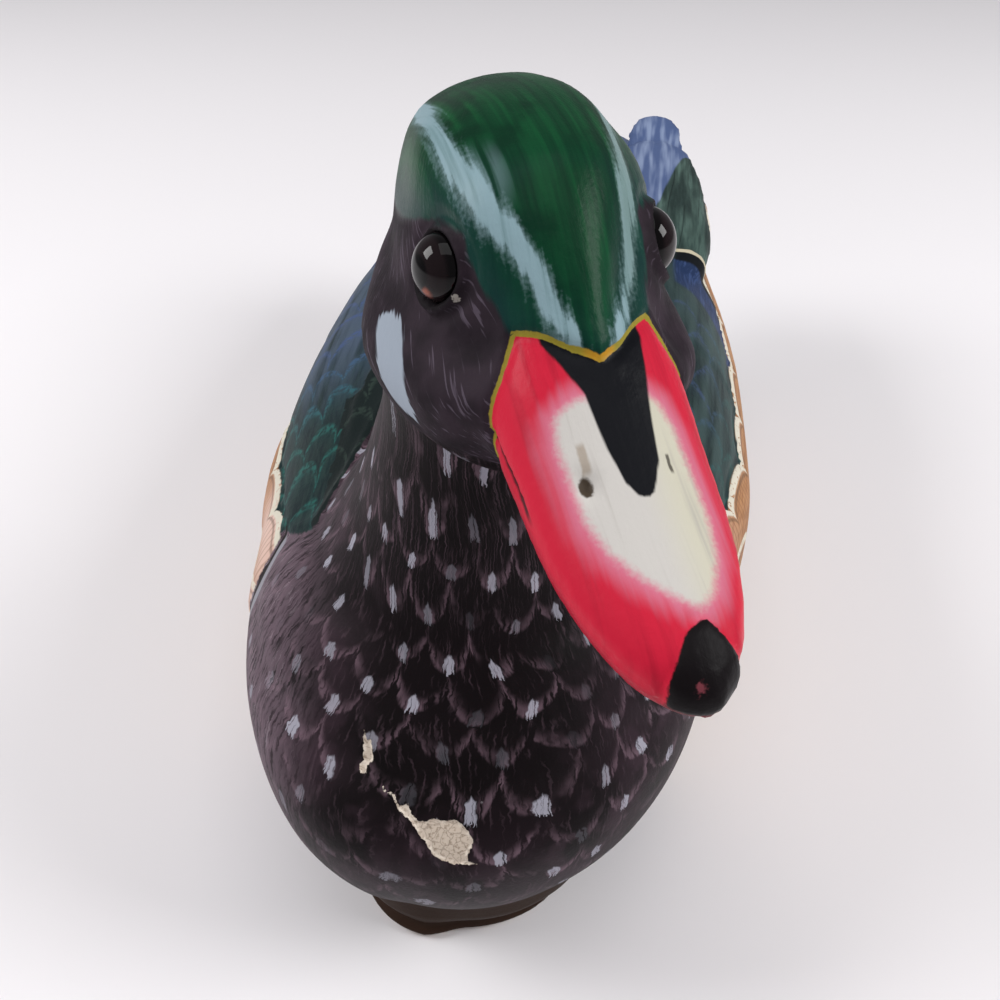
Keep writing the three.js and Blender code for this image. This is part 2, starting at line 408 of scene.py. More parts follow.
melt = duck.modifiers.new("melt", "REMESH")
melt.mode = "VOXEL"
melt.voxel_size = VOXEL * MM
bpy.ops.object.modifier_apply(modifier=melt.name)
sand = duck.modifiers.new("sand", "SMOOTH")
sand.factor = 0.5
sand.iterations = SANDING
bpy.ops.object.modifier_apply(modifier=sand.name)
print("one skin of", len(duck.data.polygons), "faces")

# %% [markdown]
# ## Places in the duck's own terms
#
# Knife work and paint lines are measured on the duck, not in the room: so far along the head, so
# many degrees down from the middle of the back. These functions turn each point of the skin into
# the head's frame, the bill's frame (p along it, v to the duck's left, h above the mouth line)
# and the body's terms.

# %% Head, bill and body terms
def head_terms(places):
    local = turned(places - HEAD, -HEAD_TURN, "Z")
    return -local[:, 1], local[:, 0], local[:, 2]


def bill_terms(places):
    local = turned(places - HEAD, -HEAD_TURN, "Z") - MOUTH_CORNER
    local = turned(turned(local, -BILL_TURN, "Z"), -BILL_DROOP, "X")
    return -local[:, 1], local[:, 0], local[:, 2]


def from_back(places):
    """Degrees from the middle of the back, 0 to 180, by the body's own sections."""
    x, y, z = places.T
    y = np.clip(y, BREAST_Y + 2, TAIL_Y - 1)
    full, side = body_fullness(y), body_side(y)
    up = z >= side
    reach = np.where(up, body_top(y) - side, side - body_bottom(y))
    half_bow = np.where(up, UPPER_BOW, under_bow(y)) / 2
    across = (np.abs(x) / (full * body_half_width(y))) ** half_bow
    above = (np.abs(z - side) / (full * reach)) ** half_bow
    tilt = np.degrees(np.arctan2(above, across))
    return np.where(up, 90 - tilt, 90 + tilt)


u, v, w = head_terms(places_of(duck))
print("the crown's highest point is", round(float(w.max()), 1), "mm above the head's middle")

# %% [markdown]
# ## Finer wood for the head
#
# The head carries the finest knife work: eyelids, nostrils and the bill's edge. Only its faces
# are divided, once for the head and bill and once more around the eyes, so that the rest stays
# light.

# %% Subdivide the head, then the eye rims
EYE_BACK = 2.2  # mm of glass behind the dome
EYE = np.array([7.8, 14.8, 7.5])  # forward, out and up from the head's middle
EYE_OUT = np.array([0.22, 0.97, 0.1]) / np.linalg.norm([0.22, 0.97, 0.1])


def eye_terms(places):
    """Distance from the nearer eye's axis, and height along it out of the head."""
    u, v, w = head_terms(places)
    from_eye = np.stack([u, np.abs(v), w], axis=1) - EYE
    out = from_eye @ EYE_OUT
    off = np.linalg.norm(from_eye - out[:, None] * EYE_OUT, axis=1)
    return off, out


def subdivide_where(piece, wanted):
    """Divides the faces whose points are all wanted. wanted is one yes or no for each point."""
    bpy.ops.object.mode_set(mode="EDIT")
    bpy.ops.mesh.select_mode(type="FACE")
    bpy.ops.mesh.select_all(action="DESELECT")
    bpy.ops.object.mode_set(mode="OBJECT")
    skin = piece.data
    corners = np.empty(len(skin.loops), int)
    skin.loops.foreach_get("vertex_index", corners)
    starts = np.empty(len(skin.polygons), int)
    skin.polygons.foreach_get("loop_start", starts)
    skin.polygons.foreach_set("select", np.logical_and.reduceat(wanted[corners], starts))
    bpy.ops.object.mode_set(mode="EDIT")
    bpy.ops.mesh.subdivide(number_cuts=1, smoothness=0, quadcorner="INNERVERT")
    bpy.ops.object.mode_set(mode="OBJECT")


u, v, w = head_terms(places_of(duck))
subdivide_where(duck, (w > -27) & (u > -30) & (np.abs(v) < 30))
off, out = eye_terms(places_of(duck))
subdivide_where(duck, (off < 9) & (np.abs(out) < 12))
print("after the second cut:", len(duck.data.polygons), "faces")

# %% [markdown]
# ## Outlines on the skin
#
# Every painted patch and every cut follows a line that was measured on the duck. A patch could be
# a texture image, but then it needs a picture. Here its outline is a short list of points in the
# head's, the bill's or the body's terms, and each point of the skin gets its distance to that
# outline. The paint then only asks whether the distance is above zero, with a little brush
# raggedness added, so that the edge stays sharp however near one looks.

# %% Distance to an outline
def inside(points, outline):
    """Distance in mm from each flat point to a closed outline, positive inside it."""
    corners = np.array(outline, float)
    nearest = np.full(len(points), 1e9)
    within = np.zeros(len(points), bool)
    x, y = points.T
    for (ax, ay), (bx, by) in zip(corners, np.roll(corners, -1, axis=0)):
        run = (bx - ax) ** 2 + (by - ay) ** 2
        t = np.clip(((x - ax) * (bx - ax) + (y - ay) * (by - ay)) / run, 0, 1)
        nearest = np.minimum(nearest, np.hypot(x - ax - t * (bx - ax), y - ay - t * (by - ay)))
        if ay != by:
            within ^= ((ay > y) != (by > y)) & (x < (bx - ax) * (y - ay) / (by - ay) + ax)
    return np.where(within, nearest, -nearest)


def flat(a, b):
    return np.stack([a, b], axis=1)


CHIP = [
    (-7.8, 64.6), (-7, 64), (-5.5, 63.9), (-5.1, 63.2), (-4.3, 62.6), (-3, 63.1), (-2.2, 62),
    (-1, 61.2), (0.5, 61.4), (1.6, 61.8), (3.6, 61.6), (5, 61.8), (6.5, 61.1), (7.7, 60),
    (8.4, 59.1), (8.3, 58.1), (7.6, 56.9), (7.8, 55.7), (9.5, 54.9), (8.1, 54.9), (6.7, 55.3),
    (5.6, 55.2), (4.5, 55.7), (2.7, 56.3), (1.7, 57), (0.8, 58.4), (-0.2, 59.1), (-1.3, 60.2),
    (-2.4, 61.2), (-3.8, 61.7), (-4.9, 62.5), (-5.9, 63.7), (-7.3, 63.8),
]
SMALL_CHIP = [
    (-12.1, 70.6), (-11.4, 69.5), (-10.7, 69.8), (-10.2, 68.3), (-9.9, 67.1), (-10.9, 66.1),
    (-11, 65.1), (-11.9, 64.9), (-12.5, 65.9), (-11.6, 66.3), (-12, 68.3),
]


def chip_depth(places):
    """How far inside the two paint chips of the breast, in mm."""
    x, y, z = places.T
    on_breast = flat(x, z)
    chips = np.maximum(inside(on_breast, CHIP), inside(on_breast, SMALL_CHIP))
    return np.minimum(chips, -105 - y)


near_chip = chip_depth(places_of(duck)) > -3
for _ in range(2):
    subdivide_where(duck, near_chip)
    near_chip = chip_depth(places_of(duck)) > -1.5
print("faces in all:", len(duck.data.polygons))

# %% [markdown]
# ## Lines of the head and the bill
#
# The bill's edge zigzags: it comes forward at the ridge and at the mouth, and reaches back
# between them to a point on each side. It is given against the angle around the bill.

# %% Bill edge, mouth, nail and nostrils
BILL_EDGE_ANGLE = [-90, -40, -8, 2, 26, 47, 60, 73, 90]
BILL_EDGE_PLACE = [4, 3, 1.5, 0.3, -3.1, -7.3, -5.1, -2.2, 0]
BILL_REACH = 19  # mm around the bill's middle line
NOSTRIL, SLIT = (14.4, -5.8), (13.8, 4.7)
NAIL = [(33.0, 1.9), (34.4, -0.8), (36.6, -2.3), (38.6, -3.8), (46, -5), (46, 6), (37.2, 4.9)]


def bill_edge_distance(p, bv, h):
    angle = np.degrees(np.arctan2(h, np.abs(bv)))
    edge = np.interp(angle, BILL_EDGE_ANGLE, BILL_EDGE_PLACE)
    return np.minimum((p - edge) * 0.8, BILL_REACH - np.hypot(bv, h))


def cut_groove(distance, width, depth):
    """A rounded cut of this width and depth along the line where the distance is 0."""
    return -depth * np.exp(-((distance / (width / 2)) ** 2))


places = places_of(duck)
p, bv, h = bill_terms(places)
bill = bill_edge_distance(p, bv, h)
print("points on the bill:", int((bill > 0).sum()))

# %% [markdown]
# ## Knife work on the head
#
# A carver cuts the eye sockets with a gouge, sets the glass in putty and models the lids in it.
# Sculpting by hand can't be repeated, so each cut is a small push of the skin's points along
# their own outward direction, by a depth that depends on the distance to its line.

# %% Carve the bill
normals = of_points(duck, "normal")
u, v, w = head_terms(places)
cut = np.zeros(len(places))

# The face stands a little proud of the bill.
at_bill = BILL_REACH - np.hypot(bv, h) > 0
cut += at_bill * cut_groove(bill - 0.5, 1.6, 0.4)
cut += at_bill * 0.25 * soft_step(-bill, 0, 0.8) * soft_step(4 + bill, 0, 3)

# The mouth, open to view at the corner and closing forward.
mouth = at_bill * (np.abs(bv) > 5) * soft_step(p, -1, 2) * (1 - 0.75 * soft_step(p, 8, 15))
cut += mouth * cut_groove(h - 0.2, 1.3, 0.8)

# One drilled nostril, one thin slit, and the nail, a separate little plate at the tip.
for (at_p, at_v), width, depth in ((NOSTRIL, 2.2, 1.2), (SLIT, 1.0, 0.3)):
    cut += (h > 2) * cut_groove(np.hypot((p - at_p) * 0.62, bv - at_v), width, depth)
nail = inside(flat(p, bv), NAIL)
nail_top = (h > -1) * at_bill
cut += nail_top * (0.35 * soft_step(nail, -0.3, 0.5) + cut_groove(nail + 0.5, 1.2, 0.25))
places = places + cut[:, None] * normals
print("deepest cut", round(float(-cut.min()), 2), "mm")

# %% [markdown]
# ## Eyelids
#
# The eyelid is a low rim of putty around the glass with a shallow crease outside it, and the wood
# behind the glass is cut away. A ring could be added as a piece, but putty is blended into the
# wood, so the skin itself rises here.

# %% Carve the lids and sockets
LID_AT, LID_HEIGHT = 5.15, 0.75  # mm from the eye's axis, and out of the head
CREASE_AT, CREASE_DEPTH = 6.6, 0.3
SOCKET_AT, SOCKET_DEPTH = 4.3, 1.6
off, out = eye_terms(places)
near_eye = (off < 10) & (np.abs(out) < 9)
rise = np.where(near_eye, LID_HEIGHT * np.exp(-(((off - LID_AT) / 0.6) ** 2)), 0)
rise -= np.where(near_eye, CREASE_DEPTH * np.exp(-(((off - CREASE_AT) / 0.9) ** 2)), 0)
socket = np.where(near_eye & (off < SOCKET_AT), np.minimum(-SOCKET_DEPTH - out, 0), 0)
forward, outward, upward = EYE_OUT
out_of_head = np.stack([
    outward * np.sign(v), np.full_like(v, -forward), np.full_like(v, upward)
], axis=1)
places = places + (rise + socket)[:, None] * turned(out_of_head, HEAD_TURN, "Z")
put_places(duck, places)
print("lids", round(float(rise.max()), 2), "mm high")

# %% [markdown]
# ## Knife work on the body
#
# The wings are only outlined: their front edge, the scalloped side feathers that lie over them,
# the edge of the long wing feathers and a few lines on the wing tips and the tail. The single
# feathers are painted, not carved.

# %% Lines of the body
SIDE_FEATHER, SCALLOP = 21, 6  # mm from one large side feather to the next, and how deep
wing_front = through(
    (0, -36), (20, -42), (27, -60), (32, -75), (37, -80), (45, -78), (52, -74), (70, -74),
    (82, -74), (95, -66), (115, -45), (140, -30),
)
bar_place = through((0, -60), (25, -70), (45, -77), (64, -82), (72, -80.5), (80, -75))


def body_lines(places):
    x, y, z = places.T
    back = from_back(places)
    above_neck_foot = np.where(y < 0, 5 - (z - body_top(y)), 9)
    wing = np.minimum(y - wing_front(back), above_neck_foot)
    hump = np.sqrt(np.clip(1 - (2 * ((y / SIDE_FEATHER) % 1) - 1) ** 2, 0, 1))
    edge = flank_top(y) - SCALLOP * hump * soft_step(95 - y, 0, 20) + 1
    flank = np.minimum.reduce([
        (back - edge) * 0.9, y - bar_place(z) - 3.2, 100 - y + 0.25 * (z - 40)
    ])
    return back, wing, flank


back, wing, flank = body_lines(places)
print("side feathers", SIDE_FEATHER, "mm long each")

# %% [markdown]
# ## Steps between the layers of feathers
#
# Where one layer of feathers ends over the next, the carver leaves a step of less than a
# millimetre. Each step is sharp at the edge and fades away over the feathers behind it.

# %% Carve wings, cape and tail
WING_STEP, FEATHER_STEP = 0.8, 0.7  # mm
LONG_FEATHER = 6.5  # mm from one line to the next
x, y, z = places.T
normals = of_points(duck, "normal")
body_only = z < 100

on_wing = body_only * (flank < 0)
cut = on_wing * WING_STEP * soft_step(wing, -0.5, 1.5) * soft_step(14 - wing, 0, 14)
cut += body_only * FEATHER_STEP * soft_step(flank, -0.5, 1.2) * (wing > -6)
cut += body_only * (wing > 2) * cut_groove(flank + 1.2, 2.4, 0.5)

# Rear edge of the main wing feathers, over the wing tips.
covert_end = through((0, 30), (30, 40), (48, 47), (62, 43), (75, 30))
covert_edge = y - covert_end(back)
at_covert_edge = soft_step(-covert_edge, -0.6, 0.8) * soft_step(covert_edge, -16, -2)
cut += on_wing * (wing > 0) * WING_STEP * at_covert_edge
# Long feather lines on wing tips and tail.
line = np.abs(((np.abs(x) / LONG_FEATHER) % 1) - 0.5) * LONG_FEATHER
faces_up = soft_step(normals[:, 2], 0.6, 0.9)
long_lines = soft_step(y, 50, 62) * soft_step(150 - y, 0, 12) * (back < 70) * faces_up
cut += long_lines * cut_groove(line, 1.6, 0.35)
# The cape of small back feathers ends in a round point between the wings.
cape = through((0, 26), (12, 20), (20, 4), (26, -18), (31, -42))
cape_edge = y - cape(back)
at_cape_edge = soft_step(-cape_edge, -0.6, 0.8) * soft_step(cape_edge, -20, -2)
cut += (wing > 0) * (back < 33) * FEATHER_STEP * at_cape_edge

# Paint chips bare the filler below.
CHIP_DEPTH = 0.35
chip = chip_depth(places)
cut -= CHIP_DEPTH * soft_step(chip, -0.15, 0.35)
places = places + cut[:, None] * normals
print("body cuts from", round(float(cut.min()), 2), "to", round(float(cut.max()), 2), "mm")

# %% [markdown]
# ## The bow under the breast
#
# Under the breast the flat bottom runs forward to a blunt point, like a boat's bow, and the breast
# is drawn in above it and fuller again higher up. The bow could be one more rough form, but it is
# thin at its edge and would melt away in the remesh, so the finished skin is pushed forward
# instead, by so much at each height and at each place across.

# %% Push the bow forward
FULLER_BREAST = 0.04  # of its width
x, y, z = places.T
bow = through(
    (0, 25.9), (1, 23.8), (2, 21.7), (3, 18.2), (4, 15.8), (6, 13), (8, 10.6), (10, 8), (14, 3.6),
    (20, 0),
)
breadth = through(
    (-42, 0), (-33, 0.5), (-27, 0.76), (-20, 0.98), (-12, 1.03), (-5, 1.02), (-3, 0.99),
    (4, 0.88), (15, 0.86), (22, 0.86), (28, 0.74), (35, 0.46), (44, 0),
)
drawn_in = through((6, 0), (14, 1.8), (28, 2.2), (40, 1.5), (56, 0))
drawn_in_at = through((-26, 0), (-12, 0.4), (-3, 1), (20, 1), (36, 0.5), (46, 0))
forward_push = bow(z) * breadth(x) - drawn_in(z) * drawn_in_at(x)
places[:, 1] -= forward_push * soft_step(-60 - y, 0, 28)
low_breast = through((26, 0), (38, 0.9), (52, 1), (66, 0.5), (82, 0))
places[:, 0] *= 1 + FULLER_BREAST * low_breast(z) * soft_step(-60 - y, 0, 40)
places[places[:, 2] < 0.35, 2] = 0
put_places(duck, places)
print("the bow reaches", round(float(-places[z < 3][:, 1].min()), 1), "mm forward of the middle")

# %% [markdown]
# ## What the painter needs to know at each point
#
# The painted patches of the bill and the head are drawn first: closed outlines, and the lines of
# the crown, the stripes and the jaw against the place along the head.

# %% Outlines of the painted patches
BLACK_RIDGE = [
    (-12, -6.4), (-4.2, -6.4), (3.7, -3.1), (11, -2.4), (15.5, -1.5), (17.4, -0.4), (17.9, 0.5),
    (17.4, 1.5), (13.4, 3.4), (5.5, 4.8), (-3.5, 6.5), (-12, 6.5),
]
WHITE_PANEL = [
    (3.2, -4.5), (4.0, -6.5), (4.9, -8.0), (8.4, -8.7), (13.9, -8.3), (19.1, -8.0), (23.6, -6.6),
    (27.7, -4.0), (31.2, -0.8), (32.8, 1.6), (32.6, 2.9), (30.8, 4.9), (26.4, 7.2), (21.1, 8.1),
    (15.8, 8.1), (9.1, 7.8), (5.4, 6.6), (4, 5),
]
CHEEK_MARK = [
    (-0.4, -4.5), (-1.9, -3.2), (0.5, -1.4), (3.4, -1.2), (6.7, -2.8), (8.8, -4.6), (11.2, -7.2),
    (12.7, -10.4), (12.2, -12.6), (8.6, -13.0), (5.7, -12.2), (4.3, -10), (2.3, -7),
]
crown_line = through(
    (-44, -3), (-36, 1), (-25, 4.5), (-12, 7), (-3, 10), (5, 12.9), (10.5, 13.4), (12.8, 10.6),
    (15.9, 7.8), (19.5, 4.6), (26, 0),
)
stripe_line = through(
    (-42, 3), (-36, 7.5), (-25, 11.5), (-12, 12.4), (-3, 12.2), (3, 11.5), (9, 10.5), (13, 9.3),
    (16.5, 7.3), (19.5, 5.6), (22.3, 4.7), (24.5, 3.8), (26, 3), (30, 2),
)
left_stripe_in = through(
    (-42, 0), (4, 0.9), (10, 0.9), (14, 0.3), (17, -0.5), (20, -0.9), (24, -0.4), (30, -0.2)
)
jaw_line = through(
    (-44, -4), (-34, -10), (-20, -15), (-7, -18.2), (2, -18.8), (9, -17), (15, -15), (30, -15)
)
print("white panel of", len(WHITE_PANEL), "points")

# %% [markdown]
# ## The pencil lines
#
# The distances are kept on the skin as attributes, one number for each point. The material reads
# them like a painter reads the pencil lines on the primed wood.

# %% Keep the pencil lines on the skin
def keep(name, value):
    layer = duck.data.attributes.new(name, "FLOAT", "POINT")
    layer.data.foreach_set("value", np.asarray(value, np.float32))


places = places_of(duck)
x, y, z = places.T
u, v, w = head_terms(places)
p, bv, h = bill_terms(places)
off, out = eye_terms(places)
bill = bill_edge_distance(p, bv, h)
upper = (h > -2) & (BILL_REACH - np.hypot(bv, h) > 0)
FAR = -20.0
SIDE_ROW = 14  # degrees down the side from one row of feathers to the next
BAR_FROM, BAR_TOP = 49, 84  # degrees from the back's middle, and mm up

keep("bill", bill)
keep("black_ridge", np.where(upper, inside(flat(p, bv), BLACK_RIDGE), FAR))
keep("white_panel", np.where(upper, inside(flat(p, bv), WHITE_PANEL), FAR))
keep("nail", np.where(p > 28, np.where(h > -1.5, inside(flat(p, bv), NAIL), p - 38.5), FAR))
keep("along_bill", p)
keep("across_bill", bv)
keep("bill_height", h)
from_nostril = np.hypot((p - NOSTRIL[0]) / 1.5, (bv - NOSTRIL[1]) / 0.9)
keep("nostril", np.where(upper, 1 - from_nostril, -9))
keep("face", w - jaw_line(u))
keep("crown", (w - crown_line(u)) * 0.8)
stripe_width = np.where(v < 0, 1.0, 0.85) * (1 - 0.4 * soft_step(u, 13, 24))
stripe_width = stripe_width * (1 - 0.35 * soft_step(-u, -6, 8))
stripe_middle = stripe_line(u) - np.where(v > 0, left_stripe_in(u), 0)
stripe_off = np.abs(np.abs(v - head_lean(u)) - stripe_middle)
keep("stripe", np.where(w > 2, stripe_width - stripe_off, FAR))
keep("cheek_mark", np.where(np.abs(v) > 8, inside(flat(u, w), CHEEK_MARK), FAR))
keep("eye_off", np.where(np.abs(out) < 9, off, 30))
keep("wing", wing)
keep("flank", flank)
keep("flank_rows", 1 - ((back - flank_top(y)) * 0.9 + 4.5) / SIDE_ROW)
keep("bar", y - bar_place(z))
keep("bar_height", np.minimum(back - BAR_FROM, BAR_TOP - z))
keep("from_back", back)
keep("covert_edge", covert_edge)
keep("cape_edge", np.where(back < 36, cape_edge, 20))
keep("chip", chip)
blue_side = through((50, 27), (77, 32.4), (85, 33.8), (99, 35.8), (117, 39.7), (124, 50))
is_blade = (y > 48) & (z > body_top(y) - 4) & (np.abs(x) > 15)
keep("blue_blade", np.where(is_blade, blue_side(y) - np.abs(x), FAR))
print("attributes:", len(duck.data.attributes))

# %% [markdown]
# ## One way to add a node
#
# A material is a tree of nodes. One small function adds a node, sets its settings, and gives each
# input either a number or another node's output. It returns the output that is in use, so that
# one line can feed the next.

# %% Node and colour helpers
def add(tree, kind, inputs=None, **settings):
    node = tree.nodes.new("ShaderNode" + kind)
    for name, value in settings.items():
        setattr(node, name, value)
    sockets = [socket for socket in node.inputs if socket.enabled]
    for key, value in (inputs or {}).items():
        socket = sockets[key] if isinstance(key, int) else next(
            s for s in sockets if s.name == key
        )
        if isinstance(value, bpy.types.NodeSocket):
            tree.links.new(value, socket)
        else:
            socket.default_value = value
    return next(socket for socket in node.outputs if socket.enabled)


def linear(code):
    """The colour of an sRGB hex code in the linear light that shaders use."""
    channels = [int(code[i : i + 2], 16) / 255 for i in (1, 3, 5)]
    return [c / 12.92 if c <= 0.04045 else ((c + 0.055) / 1.055) ** 2.4 for c in channels] + [1]


print("#808080 in linear light:", round(linear("#808080")[0], 3))

# %% [markdown]
# ## Coats of paint
#
# A painter lays one coat over another, each only in its own place. So a coat here is a colour and
# its conditions. A condition is a value on the skin with two limits: where it gives no paint and
# where it gives all of it. A brush never follows a line exactly, so a condition may add a brush
# noise and how far the brush strays. All conditions are multiplied.

# %% Amounts and coats
def amount(tree, *conditions):
    """0 to 1. A condition is a number, a socket, or (value, none at, full at[, brush, stray])."""
    total = None
    for condition in conditions:
        if isinstance(condition, tuple):
            value, none_at, full_at, *brush = condition
            if brush:
                noise, stray = brush
                value = add(tree, "Math", {0: noise, 1: 2 * stray, 2: value},
                            operation="MULTIPLY_ADD")
                none_at, full_at = none_at + stray, full_at + stray
            condition = add(tree, "MapRange", {
                "Value": value, "From Min": none_at, "From Max": full_at,
            }, interpolation_type="SMOOTHSTEP")
        total = condition if total is None else add(
            tree, "Math", {0: total, 1: condition}, operation="MULTIPLY"
        )
    return total


def coat(tree, below, above, *conditions):
    below, above = (linear(c) if isinstance(c, str) else c for c in (below, above))
    return add(tree, "Mix", {"Factor": amount(tree, *conditions), "A": below, "B": above},
               data_type="RGBA")


def coats(tree, below, *layers):
    """Coats laid one over another, each a colour and then its conditions."""
    for above, *conditions in layers:
        below = coat(tree, below, above, *conditions)
    return below


def off_line(tree, value, place=0):
    """How far a value is from a place, to either side of it."""
    if place:
        value = add(tree, "Math", {0: value, 1: place}, operation="SUBTRACT")
    return add(tree, "Math", {0: value}, operation="ABSOLUTE")


print("ready to lay coats of paint")

# %% [markdown]
# ## Overlapping feathers
#
# Painted feathers lie in rows like roof tiles: each row's round tips cover the roots of the next,
# which is shifted by half a feather. This group takes a place as columns across and rows along.
# For the row that covers this place or ends just above it, it tells how far inside the feather's
# edge the place is (Edge, below 0 past it), where it lies across that feather (Middle, -0.5 to
# 0.5) and the feather's own number. Tip and Quill are the same two for the feather that shows.

# %% Feather group
feathers = bpy.data.node_groups.new("overlapping_feathers", "ShaderNodeTree")
for name in ("Across", "Along", "Roundness", "Gap"):
    feathers.interface.new_socket(name, in_out="INPUT", socket_type="NodeSocketFloat")
for name in ("Edge", "Middle", "Own number", "Tip", "Quill"):
    feathers.interface.new_socket(name, in_out="OUTPUT", socket_type="NodeSocketFloat")
given = feathers.nodes.new("NodeGroupInput").outputs
row = add(feathers, "Math", {0: given["Along"]}, operation="FLOOR")
in_row = add(feathers, "Math", {0: given["Along"]}, operation="FRACT")
tips, middles, columns = [], [], []
for later in (0, 1):
    this_row = add(feathers, "Math", {0: row, 1: later}, operation="ADD")
    odd = add(feathers, "Math", {0: this_row, 1: 2}, operation="FLOORED_MODULO")
    moved = add(feathers, "Math", {0: odd, 1: 0.5, 2: given["Across"]}, operation="MULTIPLY_ADD")
    columns.append(add(feathers, "Math", {0: moved}, operation="FLOOR"))
    part = add(feathers, "Math", {0: moved}, operation="FRACT")
    middle = add(feathers, "Math", {0: part, 1: 0.5}, operation="SUBTRACT")
    middles.append(middle)
    square = add(feathers, "Math", {0: middle, 1: middle}, operation="MULTIPLY")
    rest = add(feathers, "Math", {0: square, 1: -4, 2: 1}, operation="MULTIPLY_ADD")
    root = add(feathers, "Math", {0: rest}, operation="SQRT")
    short = add(feathers, "Math", {0: 1, 1: root}, operation="SUBTRACT")
    cut_back = add(feathers, "Math", {0: short, 1: given["Roundness"], 2: given["Gap"]},
                   operation="MULTIPLY_ADD")
    reach = add(feathers, "Math", {0: later + 1, 1: cut_back}, operation="SUBTRACT")
    tips.append(add(feathers, "Math", {0: reach, 1: in_row}, operation="SUBTRACT"))
on_top = add(feathers, "Math", {0: tips[0], 1: 0}, operation="GREATER_THAN")
cell = add(feathers, "CombineXYZ", {0: columns[0], 1: row, 2: 0.5})
told = {
    "Edge": tips[0],
    "Middle": middles[0],
    "Own number": add(feathers, "TexWhiteNoise", {"Vector": cell}),
    "Tip": add(feathers, "Mix", {0: on_top, 1: tips[1], 2: tips[0]}),
    "Quill": add(feathers, "Mix", {0: on_top, 1: middles[1], 2: middles[0]}),
}
result = feathers.nodes.new("NodeGroupOutput").inputs
for name, socket in told.items():
    feathers.links.new(socket, result[name])


def feather_rows(across, along, roundness, gap=0):
    """What the group tells at a place, given as a column and a row."""
    return add(tree, "Group", {
        "Across": across, "Along": along, "Roundness": roundness, "Gap": gap,
    }, node_tree=feathers).node.outputs


print("feather group of", len(feathers.nodes), "nodes")

# %% [markdown]
# ## Oil paint on wood: the tree and its measures
#
# The duck is painted in artists' oils over a sealed and primed wood. Everything is measured in
# millimetres, in the duck's own frame and in the head's, so that a pattern's scale is a real
# size. The pencil lines come in as attributes.

# %% Start the paint material
paint = bpy.data.materials.new("artists_oil_paint_on_carved_wood")
paint.use_nodes = True
tree = paint.node_tree
shader = tree.nodes["Principled BSDF"]
where = add(tree, "TexCoord").node.outputs["Object"]
in_mm = add(tree, "Mapping", {"Vector": where, "Scale": (1000, 1000, 1000)})
middle_of_head = turned(np.array([HEAD], float), -HEAD_TURN, "Z")[0]
head_mm = add(tree, "Mapping", {
    "Vector": in_mm, "Rotation": (0, 0, math.radians(-HEAD_TURN)), "Location": -middle_of_head,
})
X, Y, Z = add(tree, "SeparateXYZ", {"Vector": in_mm}).node.outputs
head_X, head_Y, head_Z = add(tree, "SeparateXYZ", {"Vector": head_mm}).node.outputs
line_of = {
    item.name: add(tree, "Attribute", attribute_name=item.name).node.outputs["Fac"]
    for item in duck.data.attributes
    if item.data_type == "FLOAT" and item.domain == "POINT"
}
print("lines the paint can follow:", ", ".join(sorted(line_of)))

# %% [markdown]
# ## The brush
#
# Thin oil paint shows its brush. The hairs leave streaks that run with the feathers, long one way
# and a fraction of a millimetre wide the other. Each streak is a noise squeezed in one direction:
# along the body, along the crown and the bill, and fine hairs that sweep down the cheeks. Clouds
# are the uneven thickness of a coat, and grain is the primer's tooth.

# %% Streaks, clouds and grain
FINEST = 2.4  # hairs to a millimetre


def streak(place, squeeze, detail):
    """A noise with a scale of its own in each direction: long one way, narrow the other."""
    squeezed = add(tree, "Mapping", {"Vector": place, "Scale": squeeze})
    return add(tree, "TexNoise", {"Vector": squeezed, "Scale": 1, "Detail": detail})


body_streak = streak(in_mm, (1.2, 0.12, 1.2), 3)
broad_streak = streak(in_mm, (0.35, 0.03, 0.2), 2)
crown_streak = streak(head_mm, (0.8, 0.03, 0.05), 4)
cheek_turn = add(tree, "Mapping", {"Vector": head_mm, "Rotation": (-0.6, 0, 0)})
cheek_hair = streak(cheek_turn, (0.7, 0.07, FINEST), 1)
cloud, patch, grain, wander, dots = (
    add(tree, "TexNoise", {"Vector": in_mm, "Scale": scale, "Detail": detail})
    for scale, detail in ((0.06, 3), (0.16, 2), (1.6, 4), (0.05, 1), (0.9, 2))
)
drift = add(tree, "TexNoise", {"Vector": in_mm, "W": 7, "Scale": 0.07, "Detail": 1},
            noise_dimensions="4D")
print("finest streak about", round(1 / FINEST, 1), "mm wide")

# %% [markdown]
# ## Breast and neck
#
# The breast is a dark plum. On it the painter drew rows of U-shaped feather edges with a nearly
# dry brush in mauve, and dabbed a lavender fleck at the tips: round above, where the brush goes
# down, and pronged below, where its hairs leave the wood. The rows run round the foot of the
# neck, so a place is told by its bearing and its distance from there.

# %% Rows of breast feathers
BREAST_COLUMN = 14.4  # degrees around the breast
BREAST_ROW = 8.0  # mm down the breast
NECK_FOOT, TURNED_ABOUT = (6, -84, 125), (2, -75)
from_neck = add(tree, "VectorMath", {0: in_mm, 1: NECK_FOOT}, operation="DISTANCE")
left_of = add(tree, "Math", {0: X, 1: TURNED_ABOUT[0]}, operation="SUBTRACT")
ahead_of = add(tree, "Math", {0: Y, 1: -1, 2: TURNED_ABOUT[1]}, operation="MULTIPLY_ADD")
bearing = add(tree, "Math", {0: left_of, 1: ahead_of}, operation="ARCTAN2")
across = add(tree, "Math", {0: bearing, 1: 180 / math.pi / BREAST_COLUMN, 2: wander},
             operation="MULTIPLY_ADD")
across = add(tree, "Math", {0: dots, 1: 0.12, 2: across}, operation="MULTIPLY_ADD")
along = add(tree, "Math", {0: from_neck, 1: 1 / BREAST_ROW, 2: drift}, operation="MULTIPLY_ADD")
rows = feather_rows(across, along, 0.85, gap=0.1)
print("breast rows", BREAST_ROW, "mm apart")

